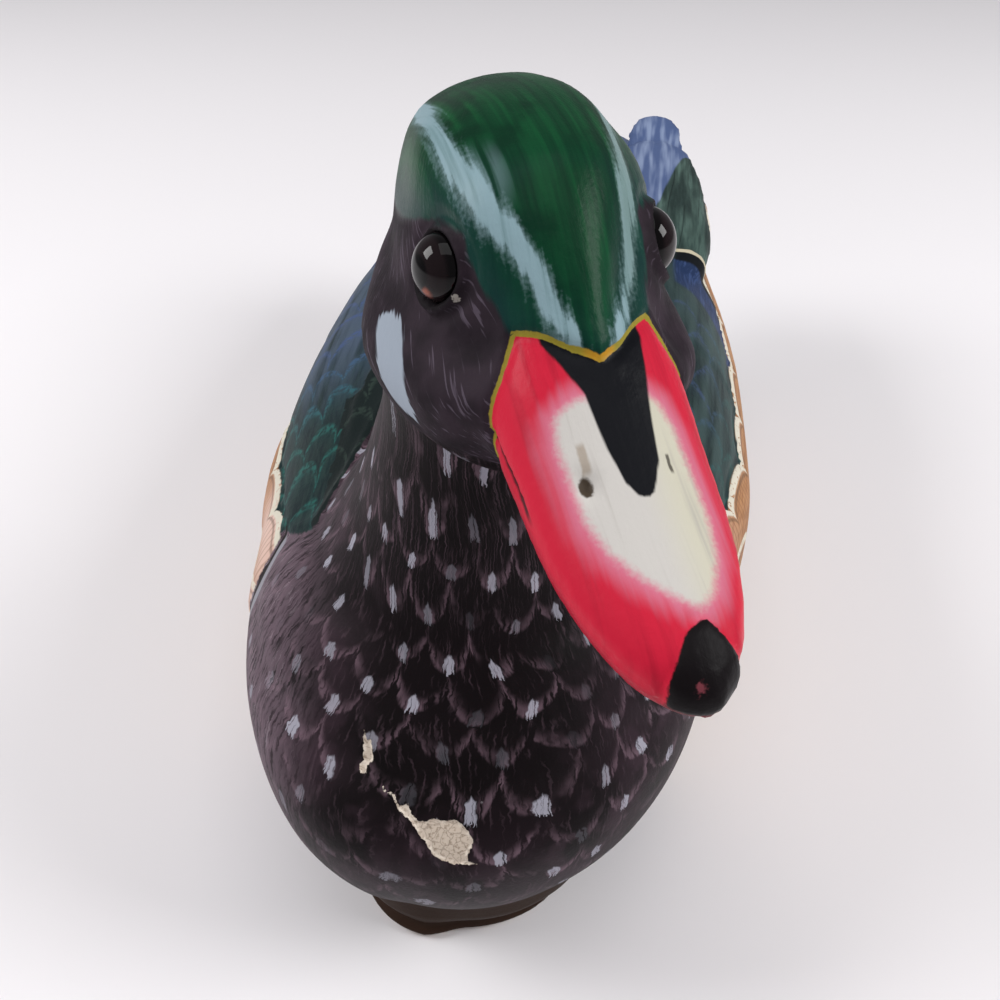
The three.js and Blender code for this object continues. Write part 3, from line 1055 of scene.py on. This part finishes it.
# %% [markdown]
# ## Hairs of the brush
#
# A dry brush leaves the marks of its hairs along the feather. So this noise lies in the feather's
# own directions, with many hairs across a column and few changes along a row. Strokes could be
# painted as a picture, but then they would be tied to one size and one layout.

# %% Hairs in a feather's own directions
FLECK_HAIRS, COLUMN_WIDE = 34, 12  # hairs across one column, and its mm at the breast


def hairs(across, along, per_column, per_row):
    """A noise of brush hairs: so many across one column, so many along one row."""
    place = add(tree, "CombineXYZ", {
        0: add(tree, "Math", {0: across, 1: per_column}, operation="MULTIPLY"),
        1: add(tree, "Math", {0: along, 1: per_row}, operation="MULTIPLY"),
    })
    return add(tree, "TexNoise", {"Vector": place, "Scale": 1, "Detail": 2})


dry_hair = hairs(across, along, 15, 1.5)
prong = hairs(across, along, FLECK_HAIRS, 0.9)
print("brush hairs", round(COLUMN_WIDE / FLECK_HAIRS, 2), "mm apart on the fleck")

# %% [markdown]
# ## Paint the breast
#
# A painter works from dark to light: plum all over, then the mauve edges and last the flecks.
# The coats are laid in the same order. The middle under the bill is painted near black as painted
# shade, and the duck's right side is painted paler with light hairs as painted sheen.
# A pressed brush leaves more paint than a light one, so each feather has its own strength.

# %% Paint the breast
PLUM, DEEP_PLUM, MAUVE, LAVENDER = "#261b21", "#110b0e", "#7f6773", "#a3a2ae"
colour = coats(
    tree, DEEP_PLUM,
    (PLUM, (cloud, 0.36, 0.6)),
    ("#33252d", (patch, 0.5, 0.68), 0.7),
    # painted shade: near black over the middle of the breast, under the head and bill
    ("#0b0708", (X, -22, -8), (X, 38, 18), (Z, 48, 66), 0.88),
    (MAUVE, (dry_hair, 0.56, 0.74), 0.14),
    # painted sheen: paler plum and light hairs on the duck's right side, where the light falls
    ("#685761", (X, -18, -38), (dry_hair, 0.3, 0.56), 0.85),
    ("#a99da4", (X, -22, -44), (prong, 0.54, 0.68), (patch, 0.4, 0.6), 0.5),
)
edge, number = rows["Edge"], rows["Own number"]
pressed = add(tree, "Math", {0: number, 1: 0.5, 2: 0.4}, operation="MULTIPLY_ADD")
colour = coat(tree, colour, MAUVE, (edge, 0.42, 0.05, dry_hair, 0.22), (edge, -0.09, 0.02),
              (dry_hair, 0.36, 0.58), (patch, 0.34, 0.58), pressed, 0.64)
neck_hair = hairs(across, along, 28, 0.8)
colour = coat(tree, colour, MAUVE, (from_neck, 52, 24), (neck_hair, 0.54, 0.7), 0.22)
off_middle = off_line(tree, rows["Middle"])
dab_top = add(tree, "Math", {0: off_middle, 1: 1.4, 2: edge}, operation="MULTIPLY_ADD")
colour = coat(tree, colour, LAVENDER, (off_middle, 0.115, 0.085, prong, -0.03),
              (dab_top, 0.4, 0.32, dry_hair, 0.05), (edge, -0.06, -0.03, prong, 0.32),
              (number, 0.05, 0.95), (prong, 0.3, 0.5), 0.88)
specks = add(tree, "TexVoronoi", {"Vector": in_mm, "Scale": 0.13})
colour = coat(tree, colour, "#9a9499", (specks, 0.032, 0.02), (patch, 0.5, 0.56), 0.6)
print("plum in linear light:", [round(c, 3) for c in linear(PLUM)[:3]])

# %% [markdown]
# ## Back and wings
#
# The back is a bronze black cape. The folded wings are teal black with dotted teal feather edges
# on the front half, which turn to blue higher up, and end in a blue band with a cream line. The
# long feathers behind are grey green, and the tips of the lower blades are blue.

# %% Front half of the wing
WING_BLACK, WING_TEAL, TEAL_EDGE, BLUE_EDGE = "#152326", "#20302f", "#28605a", "#43547f"
BRONZE, BRONZE_EDGE = "#161f1f", "#33403a"
WING_COLUMN = 12  # degrees around the body
WING_ROW = 10.5  # mm along the body
across = add(tree, "Math", {0: line_of["from_back"], 1: 1 / WING_COLUMN, 2: wander},
             operation="MULTIPLY_ADD")
along = add(tree, "Math", {0: Y, 1: 1 / WING_ROW, 2: drift}, operation="MULTIPLY_ADD")
rows = feather_rows(across, along, 0.8)
tip = rows["Tip"]
on_edge = amount(tree, (tip, 0.0, 0.1), (tip, 0.36, 0.16), (dots, 0.36, 0.6))
fainter = add(tree, "MapRange", {"Value": X, "From Min": -8, "From Max": 12, "To Min": 0.75,
                                 "To Max": 0.35})
bluer = amount(tree, (Y, -52, -15), (line_of["from_back"], 64, 50))
edge_colour = coat(tree, TEAL_EDGE, BLUE_EDGE, bluer)
front_half = amount(tree, (line_of["covert_edge"], -24, -34), fainter)
wing = coats(
    tree, WING_BLACK,
    (WING_TEAL, (body_streak, 0.35, 0.65)),
    ("#3d4f4e", (X, 20, 48), (broad_streak, 0.3, 0.65), 0.75),
    ("#515e70", (X, -16, -38), (broad_streak, 0.25, 0.6), bluer, 0.7),
    (edge_colour, on_edge, front_half),
    (edge_colour, (tip, 0.9, 0.2), front_half, 0.13),
)
bronze = coat(tree, BRONZE, BRONZE_EDGE, on_edge, 0.6)
wing = coat(tree, bronze, wing, (line_of["cape_edge"], -0.5, 0.5, body_streak, 0.6))
print("wing rows", WING_ROW, "mm apart")

# %% [markdown]
# ## Band, long feathers and wing tips
#
# A blue band with a black and a cream line closes the front half. The long feathers lie behind
# it, dark at their quills. All are measured from the edge that the knife has cut there, so that
# paint and relief meet.

# %% Band, long feathers and wing tips
BAND_WIDE = 22  # mm
LONG_COLUMN, LONG_ROW = 9, 30  # degrees around the body, and mm along it
BAND_BLUE, CREAM = "#1f2f4f", "#bdb49c"
behind_front = line_of["covert_edge"]
long_along = add(tree, "Math", {0: behind_front, 1: 1 / LONG_ROW, 2: 8}, operation="MULTIPLY_ADD")
long_across = add(tree, "Math", {0: line_of["from_back"], 1: 1 / LONG_COLUMN}, operation="MULTIPLY")
rows = feather_rows(long_across, long_along, 0.3)
off_quill = off_line(tree, rows["Quill"])
band = coats(
    tree, BAND_BLUE,
    ("#41547f", (body_streak, 0.45, 0.7), 0.6),
    ("#0c1014", (behind_front, -6.5, -5.5)),
    (CREAM, (behind_front, -2.4, -2.0)),
)
wing = coat(tree, wing, band, (behind_front, -BAND_WIDE, 3 - BAND_WIDE), (behind_front, 0.1, -0.1),
            (line_of["from_back"], 38, 41))
tip_green = coats(
    tree, "#22302d",
    ("#4f655e", (broad_streak, 0.35, 0.7)),
    ("#2c3c39", (body_streak, 0.45, 0.65), 0.6),
    ("#0d1413", (off_quill, 0.03, 0.0), 0.6),
)
wing = coat(tree, wing, tip_green, (behind_front, -0.2, 0.2))
tip_blue = coat(tree, "#4a5a80", "#8795b2", (broad_streak, 0.42, 0.7), 0.8)
wing = coat(tree, wing, tip_blue, (Y, 60, 74),
            (line_of["blue_blade"], -0.4, 0.4, broad_streak, 0.8))
colour = coat(tree, colour, wing, (line_of["wing"], -0.35, 0.35, body_streak, 0.8))
print("band", BAND_BLUE, "and line", CREAM)

# %% [markdown]
# ## Side feathers and belly
#
# The large tan side feathers lie over the wing's lower edge. Each has a broken off-white edge
# and fine wavy lines across, and their rows follow the body down to the cream belly.

# %% Side feathers
TAN, DARK_TAN, PINK_TAN, OFF_WHITE = "#b1825a", "#956641", "#c9a392", "#d3cdbd"
across = add(tree, "Math", {0: Y, 1: 1 / SIDE_FEATHER}, operation="MULTIPLY")
rows = feather_rows(across, line_of["flank_rows"], 0.386)
tip = rows["Tip"]
tan = coats(
    tree, TAN,
    (DARK_TAN, (body_streak, 0.35, 0.7)),
    (PINK_TAN, (Y, -35, -70)),
    ("#d8bcb0", (X, -30, -48), (Y, -48, -66), 0.7),
)
wavy_way = add(tree, "Mapping", {"Vector": in_mm, "Scale": (1, 1, 0.35)})
wavy = add(tree, "TexWave", {"Vector": wavy_way, "Scale": 0.16, "Distortion": 5, "Detail": 2,
                             "Detail Scale": 0.5}, bands_direction="Y")
tan = coats(
    tree, tan,
    ("#6d4a2a", (wavy, 0.7, 0.95), 0.35),
    # painted shade: darker toward each feather's root, under the edge of the feather above
    (DARK_TAN, (tip, 0.5, 1.25), 0.5),
    ("#4a3526", (tip, 0.2, 0.24), (tip, 0.33, 0.27), 0.5),
    (OFF_WHITE, (tip, 0.2, 0.13), (dots, 0.3, 0.42)),
    ("#cbbfa8", (Z, 17, 13, body_streak, -5)),
)
colour = coat(tree, colour, tan, (line_of["flank"], -0.25, 0.25, body_streak, 0.5))
print("side feathers", SIDE_FEATHER, "mm apart")

# %% [markdown]
# ## White and black bars
#
# A white bar and a black line behind it part the side feathers from the breast. Both are narrow
# bands around one pencil line and are painted last, over breast and side alike.

# %% White and black bars
BARS_APART = 1.9  # mm
in_bar = amount(tree, (line_of["bar_height"], 0, 1))
off_white = off_line(tree, line_of["bar"])
off_black = off_line(tree, line_of["bar"], BARS_APART)
bar_white = coat(tree, OFF_WHITE, "#8b8a92", (X, 0, -20))
colour = coats(
    tree, colour,
    (bar_white, (off_white, 1.4, 0.9), in_bar),
    ("#14100f", (off_black, 0.9, 0.5), in_bar),
)
print("bars", BARS_APART, "mm apart")

# %% [markdown]
# ## Head
#
# The face is dark purple brown with fine hair strokes that sweep back from the bill. They are
# dry brushed too, and only where the patch noise lets them show.

# %% Face
FACE, FACE_LIGHT, HAIR = "#1f181e", "#30262e", "#756a79"
face = coats(
    tree, FACE,
    (FACE_LIGHT, (patch, 0.35, 0.7)),
    (HAIR, (cheek_hair, 0.62, 0.72), (patch, 0.35, 0.55), 0.35),
)
colour = coat(tree, colour, face, (line_of["face"], -1, 1, cheek_hair, 2))
print("face", FACE, "to", FACE_LIGHT)

# %% [markdown]
# ## Crown and stripes
#
# The crown is green, brushed light and dark from the bill backwards, with a pale ragged stripe
# over each eye. The stripes are dry brushed twice, thin and wide and then full and narrow, and
# hairs break both. A white mark stands on each cheek, and beside the right eye a small pale speck
# is painted.

# %% Crown and stripes
SPECK = (4.8, -108.8, 150.8)  # mm
GREEN_DARK, GREEN, GREEN_LIGHT, STRIPE = "#062d1c", "#0b3d24", "#12572e", "#86a0a8"
CHEEK_WHITE, PALE_SPECK = "#969fab", "#a39d96"
crown = coats(
    tree, GREEN_DARK,
    (GREEN, (crown_streak, 0.24, 0.62), (patch, 0.28, 0.5)),
    (GREEN_LIGHT, (crown_streak, 0.44, 0.86), (cloud, 0.38, 0.56), 0.7),
    ("#123036", (line_of["crown"], 8, 0), 0.6),
)
wisp = add(tree, "Mapping", {"Vector": head_mm, "Location": (2.5, 1.26, -2.8),
                             "Scale": (0.29, 0.14, 0.14)})
wisp = add(tree, "VectorMath", {0: wisp}, operation="LENGTH")
crown = coat(tree, crown, STRIPE, (wisp, 1.1, 0.2), (crown_streak, 0.42, 0.62), 0.3)
colour = coat(tree, colour, crown, (line_of["crown"], -0.4, 0.4, crown_streak, 0.9))
ragged = add(tree, "Math", {0: crown_streak, 1: 3.2, 2: line_of["stripe"]},
             operation="MULTIPLY_ADD")
stripe = coats(
    tree, "#6d898d",
    (STRIPE, (crown_streak, 0.36, 0.56)),
    ("#6c8481", (head_X, 4, 9), 0.8),
)
colour = coats(
    tree, colour,
    (stripe, (ragged, 0.6, 1.7, grain, 0.8), 0.4),
    (stripe, (ragged, 1.3, 1.8, grain, 0.3), (crown_streak, 0.25, 0.42)),
    (CHEEK_WHITE, (line_of["cheek_mark"], -0.3, 0.3, cheek_hair, 0.8)),
    # painted shade: near black on the lid next to the glass, in the gap between glass and lid
    ("#0e0b0d", (line_of["eye_off"], 5.5, 4.9), 0.85),
)
off_speck = add(tree, "VectorMath", {0: in_mm, 1: SPECK}, operation="DISTANCE")
colour = coat(tree, colour, PALE_SPECK, (off_speck, 0.6, 0.35, grain, 0.8), 0.9)
print("crown", GREEN_DARK, "to", GREEN_LIGHT)

# %% [markdown]
# ## Bill
#
# The bill is red at the sides, blended wet into a white panel on top, with a black ridge and a
# black nail. Wet blending is a wide soft edge: first a pink coat that starts outside the panel's
# line, then the white inside it.

# %% Red, white and black of the bill
RED, DEEP_RED, PINK = "#c52039", "#a1182e", "#cb748b"
WHITE_LEFT, WHITE_RIGHT, RIDGE_BLACK = "#c3bfba", "#c6c2b0", "#0e0f14"
in_bill = amount(tree, (line_of["bill"], -0.12, 0.12))
panel = line_of["white_panel"]
paint_on_bill = coats(
    tree, RED,
    (DEEP_RED, (crown_streak, 0.45, 0.75), 0.6),
    (PINK, (panel, -2.6, 0.8, crown_streak, 1.4), 0.9),
)
# The white is a little yellower on the duck's left half of the panel: a painted tint of the light
# falling on that side of the ridge.
white_with_painted_light_tint = coats(
    tree, WHITE_LEFT,
    (WHITE_RIGHT, (head_X, -1, 5)),
    ("#a8a39c", (crown_streak, 0.52, 0.8), 0.7),
)
paint_on_bill = coats(
    tree, paint_on_bill,
    (white_with_painted_light_tint, (panel, 0, 1.8, grain, 0.6)),
    (RIDGE_BLACK, (line_of["black_ridge"], -0.2, 0.2, crown_streak, 0.3)),
    ("#120e10", (line_of["nail"], -0.15, 0.15, grain, 0.2)),
    (DEEP_RED, (line_of["bill_height"], 0, -1.2), 0.7),
)
print("bill", RED, "to", WHITE_LEFT)

# %% [markdown]
# ## Nostrils, mouth and worn nail
#
# The nostrils are a drilled and stained hole on one side and a thin slit on the other, as the
# maker left them. The knife has cut them already, so here they only get their stain, a smear
# behind the hole, a dark line along the mouth and a red spot where the nail is worn.

# %% Nostrils, mouth, worn nail
SMEAR_ACROSS, MOUTH_HEIGHT, WORN = -5.3, 0.2, (40.1, -0.8)  # mm in the bill's terms
p_line, v_line, h_line = (line_of[n] for n in ("along_bill", "across_bill", "bill_height"))
off_smear = off_line(tree, v_line, SMEAR_ACROSS)
off_slit = off_line(tree, v_line, SLIT[1])
off_mouth = off_line(tree, h_line, MOUTH_HEIGHT)
side_of_bill = off_line(tree, v_line)
off_worn = add(tree, "Mapping", {"Vector": add(tree, "CombineXYZ", {0: p_line, 1: v_line}),
                                 "Location": (-WORN[0], -WORN[1], 0)})
off_worn = add(tree, "VectorMath", {0: off_worn}, operation="LENGTH")
paint_on_bill = coats(
    tree, paint_on_bill,
    ("#8f7d68", (off_smear, 0.7, 0.3, dots, 0.2), (p_line, 9, 10), (p_line, 13.5, 12.5),
     (h_line, 1, 2), 0.6),
    ("#463c32", (line_of["nostril"], -0.1, 0.25, grain, 0.15)),
    ("#3b342e", (off_slit, 0.32, 0.12), (p_line, 12.4, 12.8), (p_line, 15.3, 14.6), (h_line, 1, 2),
     0.85),
    ("#230d12", (off_mouth, 0.7, 0.3), (p_line, 15.5, 12.5), (side_of_bill, 5, 6), 0.9),
    ("#84404a", (off_worn, 0.8, 0.2, grain, 0.9), 0.7),
)
colour = coat(tree, colour, paint_on_bill, in_bill)
print("slit", SLIT[1], "mm left of the bill's middle")

# %% [markdown]
# ## Yellow line
#
# A thin dull yellow line parts bill and face and turns orange at the bill's peak. It could be a
# thin piece laid on the wood, but paint has no height here. So it is a band around the edge's
# own pencil line and can't drift away from it.

# %% Yellow line at the bill's edge
PEAK = (0, -26, 3)  # in the head's frame, mm
YELLOW, ORANGE = "#8f8230", "#c08826"
from_peak = add(tree, "VectorMath", {0: head_mm, 1: PEAK}, operation="DISTANCE")
off_edge = off_line(tree, line_of["bill"])
thicker = add(tree, "MapRange", {"Value": head_Z, "From Min": -6, "From Max": 3, "To Min": 0,
                                 "To Max": -0.15})
off_edge = add(tree, "Math", {0: off_edge, 1: thicker}, operation="ADD")
colour = coat(tree, colour, coat(tree, YELLOW, ORANGE, (from_peak, 2.8, 1.6)),
              (off_edge, 0.2, 0.08, grain, 0.1), (line_of["face"], -15, -14))
print("yellow line", YELLOW, "to", ORANGE)

# %% [markdown]
# ## Bare wood and chips
#
# The underside was never painted. Its front point, the bow under the breast, is painted a dark
# brown that stands for brown wood in the shade of the breast above it: painted shade. On the breast
# the paint has chipped down to the pale filler, which is finely cracked and paler towards its rim.

# %% Wood and chips
WOOD, BOW_BROWN_SHADE, FILLER, DIRTY_FILLER = "#8d6b45", "#32231b", "#c4b6a7", "#857565"
wood = coat(tree, WOOD, "#6d4f30", (body_streak, 0.4, 0.65))
colour = coats(
    tree, colour,
    # painted shade: the bow under the breast in a dark brown, as it looks in the breast's shade
    (BOW_BROWN_SHADE, (Z, 16, 14, grain, 1), (Y, -88, -94)),
    (wood, (Z, 1.2, 0.8, grain, -0.7)),
)
shaken = add(tree, "VectorMath", {0: add(tree, "TexNoise", {"Vector": in_mm, "Scale": 0.8}).node
                                  .outputs["Color"], 1: in_mm}, operation="ADD")
cracks = add(tree, "TexVoronoi", {"Vector": shaken, "Scale": 0.55}, feature="DISTANCE_TO_EDGE")
filler = coats(
    tree, FILLER,
    (DIRTY_FILLER, (grain, 0.5, 0.68), 0.7),
    ("#5f5145", (cracks, 0.06, 0.01, grain, 0.03), 0.4),
    # paler filler towards the chip's rim
    ("#e9ded0", (line_of["chip"], 0.7, 0.2), (dots, 0.4, 0.6), 0.7),
)
in_chip = amount(tree, (line_of["chip"], -0.06, 0.06, grain, 0.35))
colour = coat(tree, colour, filler, in_chip)
tree.links.new(colour, shader.inputs["Base Color"])
print("filler", FILLER)

# %% [markdown]
# ## Shine and brush relief
#
# Artists' oil dries satin, and it shines less than household gloss, so its specular level is
# low. The crown and the bill got more medium and are smoother. The filler is chalky. The relief
# is the brush's: hundredths of a millimetre.

# %% Roughness and bump
SATIN, SMOOTH, CHALK = 0.45, 0.3, 0.85
FACE_DULLER, GRAIN_DULLER = 0.14, 0.12  # more roughness on the face, and by the grain
on_crown = amount(tree, (line_of["crown"], -0.4, 0.4), (head_Y, 30, 20))
polished = add(tree, "Math", {0: on_crown, 1: in_bill}, operation="MAXIMUM")
shader.inputs["Specular IOR Level"].default_value = 0.08
shine = add(tree, "Mix", {"Factor": polished, "A": SATIN, "B": SMOOTH})
on_face = amount(tree, (line_of["face"], -1, 1), (line_of["crown"], 0, -1))
shine = add(tree, "Math", {0: on_face, 1: FACE_DULLER, 2: shine}, operation="MULTIPLY_ADD")
shine = add(tree, "Mix", {"Factor": in_chip, "A": shine, "B": CHALK})
shine = add(tree, "Math", {0: grain, 1: GRAIN_DULLER, 2: shine}, operation="MULTIPLY_ADD")
tree.links.new(shine, shader.inputs["Roughness"])
relief = crown_streak
for layer, height in ((body_streak, 0.5), (grain, 0.4), (dry_hair, 0.6), (in_chip, -3)):
    relief = add(tree, "Math", {0: layer, 1: height, 2: relief}, operation="MULTIPLY_ADD")
bump = add(tree, "Bump", {"Height": relief, "Strength": 0.7, "Distance": 0.0001})
tree.links.new(bump, shader.inputs["Normal"])
print("paint material of", len(tree.nodes), "nodes")

# %% [markdown]
# ## The painted duck takes its place
#
# The finished skin gets its material and smooth shading. It rides on the root body and stands for
# the CAD solid.

# %% Finish the duck
duck.data.materials.clear()
duck.data.materials.append(paint)
bpy.ops.object.select_all(action="DESELECT")
duck.select_set(True)
bpy.context.view_layer.objects.active = duck
bpy.ops.object.shade_smooth()

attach(duck, "root")
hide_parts("carved_duck")
print(duck.name, "of", len(duck.data.polygons), "faces")

# %% [markdown]
# ## Glass eyes
#
# Taxidermists' eyes are half balls of clear glass, painted on their flat back, and set in putty,
# so that a lid covers their edge. A half ball with a short wall is the real shape, so a sphere is
# cut in half and flattened a little, and its open edge is drawn back into the wood.

# %% Model the eyes
GLASS_RADIUS, GLASS_DOME, GLASS_SUNK = 4.7, 4.0, 0.45  # mm
GLOW = (-1.7, -2.1)  # mm from the middle, low on the front side


def glass_eye(name, side):
    bpy.ops.object.select_all(action="DESELECT")
    bpy.ops.mesh.primitive_uv_sphere_add(segments=72, ring_count=48, radius=GLASS_RADIUS * MM)
    eye = bpy.context.object
    eye.name = name
    bpy.ops.object.mode_set(mode="EDIT")
    bpy.ops.mesh.select_all(action="SELECT")
    bpy.ops.mesh.bisect(plane_co=(0, 0, 0.00001), plane_no=(0, 0, 1), clear_inner=True)
    bpy.ops.mesh.select_all(action="SELECT")
    bpy.ops.transform.resize(value=(1, 1, GLASS_DOME / GLASS_RADIUS), center_override=(0, 0, 0))
    bpy.ops.mesh.select_mode(type="EDGE")
    bpy.ops.mesh.select_all(action="DESELECT")
    bpy.ops.mesh.select_non_manifold()
    bpy.ops.mesh.extrude_region_move(TRANSFORM_OT_translate={"value": (0, 0, -EYE_BACK * MM)})
    bpy.ops.mesh.edge_face_add()
    bpy.ops.object.mode_set(mode="OBJECT")

    across_glass, up_glass = places_of(eye)[:, :2].T
    for kept, distance in (
        ("from_middle", np.hypot(across_glass, up_glass)),
        ("from_glow", np.hypot(across_glass - side * GLOW[0], up_glass - GLOW[1])),
    ):
        layer = eye.data.attributes.new(kept, "FLOAT", "POINT")
        layer.data.foreach_set("value", distance.astype(np.float32))
    forward, outward, upward = EYE_OUT
    out = Vector((side * outward, -forward, upward))
    place = Vector((side * EYE[1], -EYE[0], EYE[2])) - GLASS_SUNK * out
    turn = out.to_track_quat("Z", "Y").to_matrix().to_4x4()
    on_neck = Matrix.Translation(Vector(HEAD) * MM)
    on_neck = on_neck @ Matrix.Rotation(math.radians(HEAD_TURN), 4, "Z")
    eye.data.transform(on_neck @ Matrix.Translation(place * MM) @ turn)
    bpy.ops.object.shade_smooth_by_angle(angle=math.radians(50))
    return eye


print("glass", GLASS_RADIUS * 2, "mm across")

# %% [markdown]
# ## The painted back of the glass
#
# The paint lies behind clear glass: a black pupil and a dark brown iris. A red brown glow low at
# the front is painted light: the light that falls through the glass onto the iris. A clear dome
# over a painted disc would need thick glass to be traced. At this size nobody can tell, so the
# colours are put on the dome itself, by the distance from its middle and from the glow.

# %% Eye material
PUPIL, GLASS_RIM = (2.0, 2.6), (4.1, 4.5)  # mm from the middle: from and to for the next colour
eye_paint = bpy.data.materials.new("back_painted_glass")
eye_paint.use_nodes = True
eye_tree = eye_paint.node_tree
glass = eye_tree.nodes["Principled BSDF"]
glass.inputs["Roughness"].default_value = 0.04
glass.inputs["Specular IOR Level"].default_value = 0.17
glass.inputs["IOR"].default_value = 1.52
from_middle = add(eye_tree, "Attribute", attribute_name="from_middle").node.outputs["Fac"]
from_glow = add(eye_tree, "Attribute", attribute_name="from_glow").node.outputs["Fac"]
# painted light: the iris turns red brown around the glow, where light falls through the glass
iris = coat(eye_tree, "#191113", "#93503f", (from_glow, 1.15, 0.2))
eye_colour = coats(
    eye_tree, "#040304",
    (iris, (from_middle, *PUPIL)),
    ("#060405", (from_middle, *GLASS_RIM)),
)
eye_tree.links.new(eye_colour, glass.inputs["Base Color"])
for name, side in (("left", 1), ("right", -1)):
    eye = glass_eye(f"glass_eye_{name}", side)
    eye.data.materials.append(eye_paint)
    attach(eye, "root")
    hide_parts(f"{name}_eye")
    print(eye.name, "of", len(eye.data.polygons), "faces")

# %% [markdown]
# ## Floor
#
# A small object is photographed on a sheet of white board that runs far back, so that no edge
# shows. A large plane does that here. It is only the stage and no part of the duck.

# %% Floor
FLOOR_WIDE = 40  # m
bpy.ops.object.select_all(action="DESELECT")
bpy.ops.mesh.primitive_plane_add(size=FLOOR_WIDE)
floor = bpy.context.object
floor.name = "floor"
floor_paint = bpy.data.materials.new("matt_white_board")
floor_paint.use_nodes = True
board = floor_paint.node_tree.nodes["Principled BSDF"]
board.inputs["Base Color"].default_value = linear("#ebe8ea")
board.inputs["Roughness"].default_value = 0.6
floor.data.materials.append(floor_paint)
print("floor", floor.dimensions[0], "m wide")

# %% [markdown]
# ## Light
#
# Two soft boxes stand level with the breast, left and right, at 40 degrees, as the two soft
# shadows in the picture tell. A large weak one hangs above and keeps the board bright in front
# and behind. The room around gives an even pale glow.

# %% Lights
ROOM_GLOW = 0.27


def soft_box(name, place, size, watts):
    light = bpy.data.lights.new(name, "AREA")
    light.size = size
    light.energy = watts
    lamp = bpy.data.objects.new(name, light)
    bpy.context.collection.objects.link(lamp)
    lamp.location = place
    lamp.rotation_euler = (-Vector(place)).to_track_quat("-Z", "Y").to_euler()
    return lamp


soft_box("left_box", (-1.0, -0.14, 0.82), 0.55, 10.5)
soft_box("right_box", (1.0, -0.1, 0.82), 0.55, 11)
soft_box("ceiling", (0.05, -0.2, 2.0), 1.4, 9)
room = bpy.data.worlds.new("pale_room")
room.use_nodes = True
glow = room.node_tree.nodes["Background"]
glow.inputs["Color"].default_value = (0.97, 0.96, 1.0, 1)
glow.inputs["Strength"].default_value = ROOM_GLOW
bpy.context.scene.world = room
bpy.context.scene.view_settings.view_transform = "Standard"
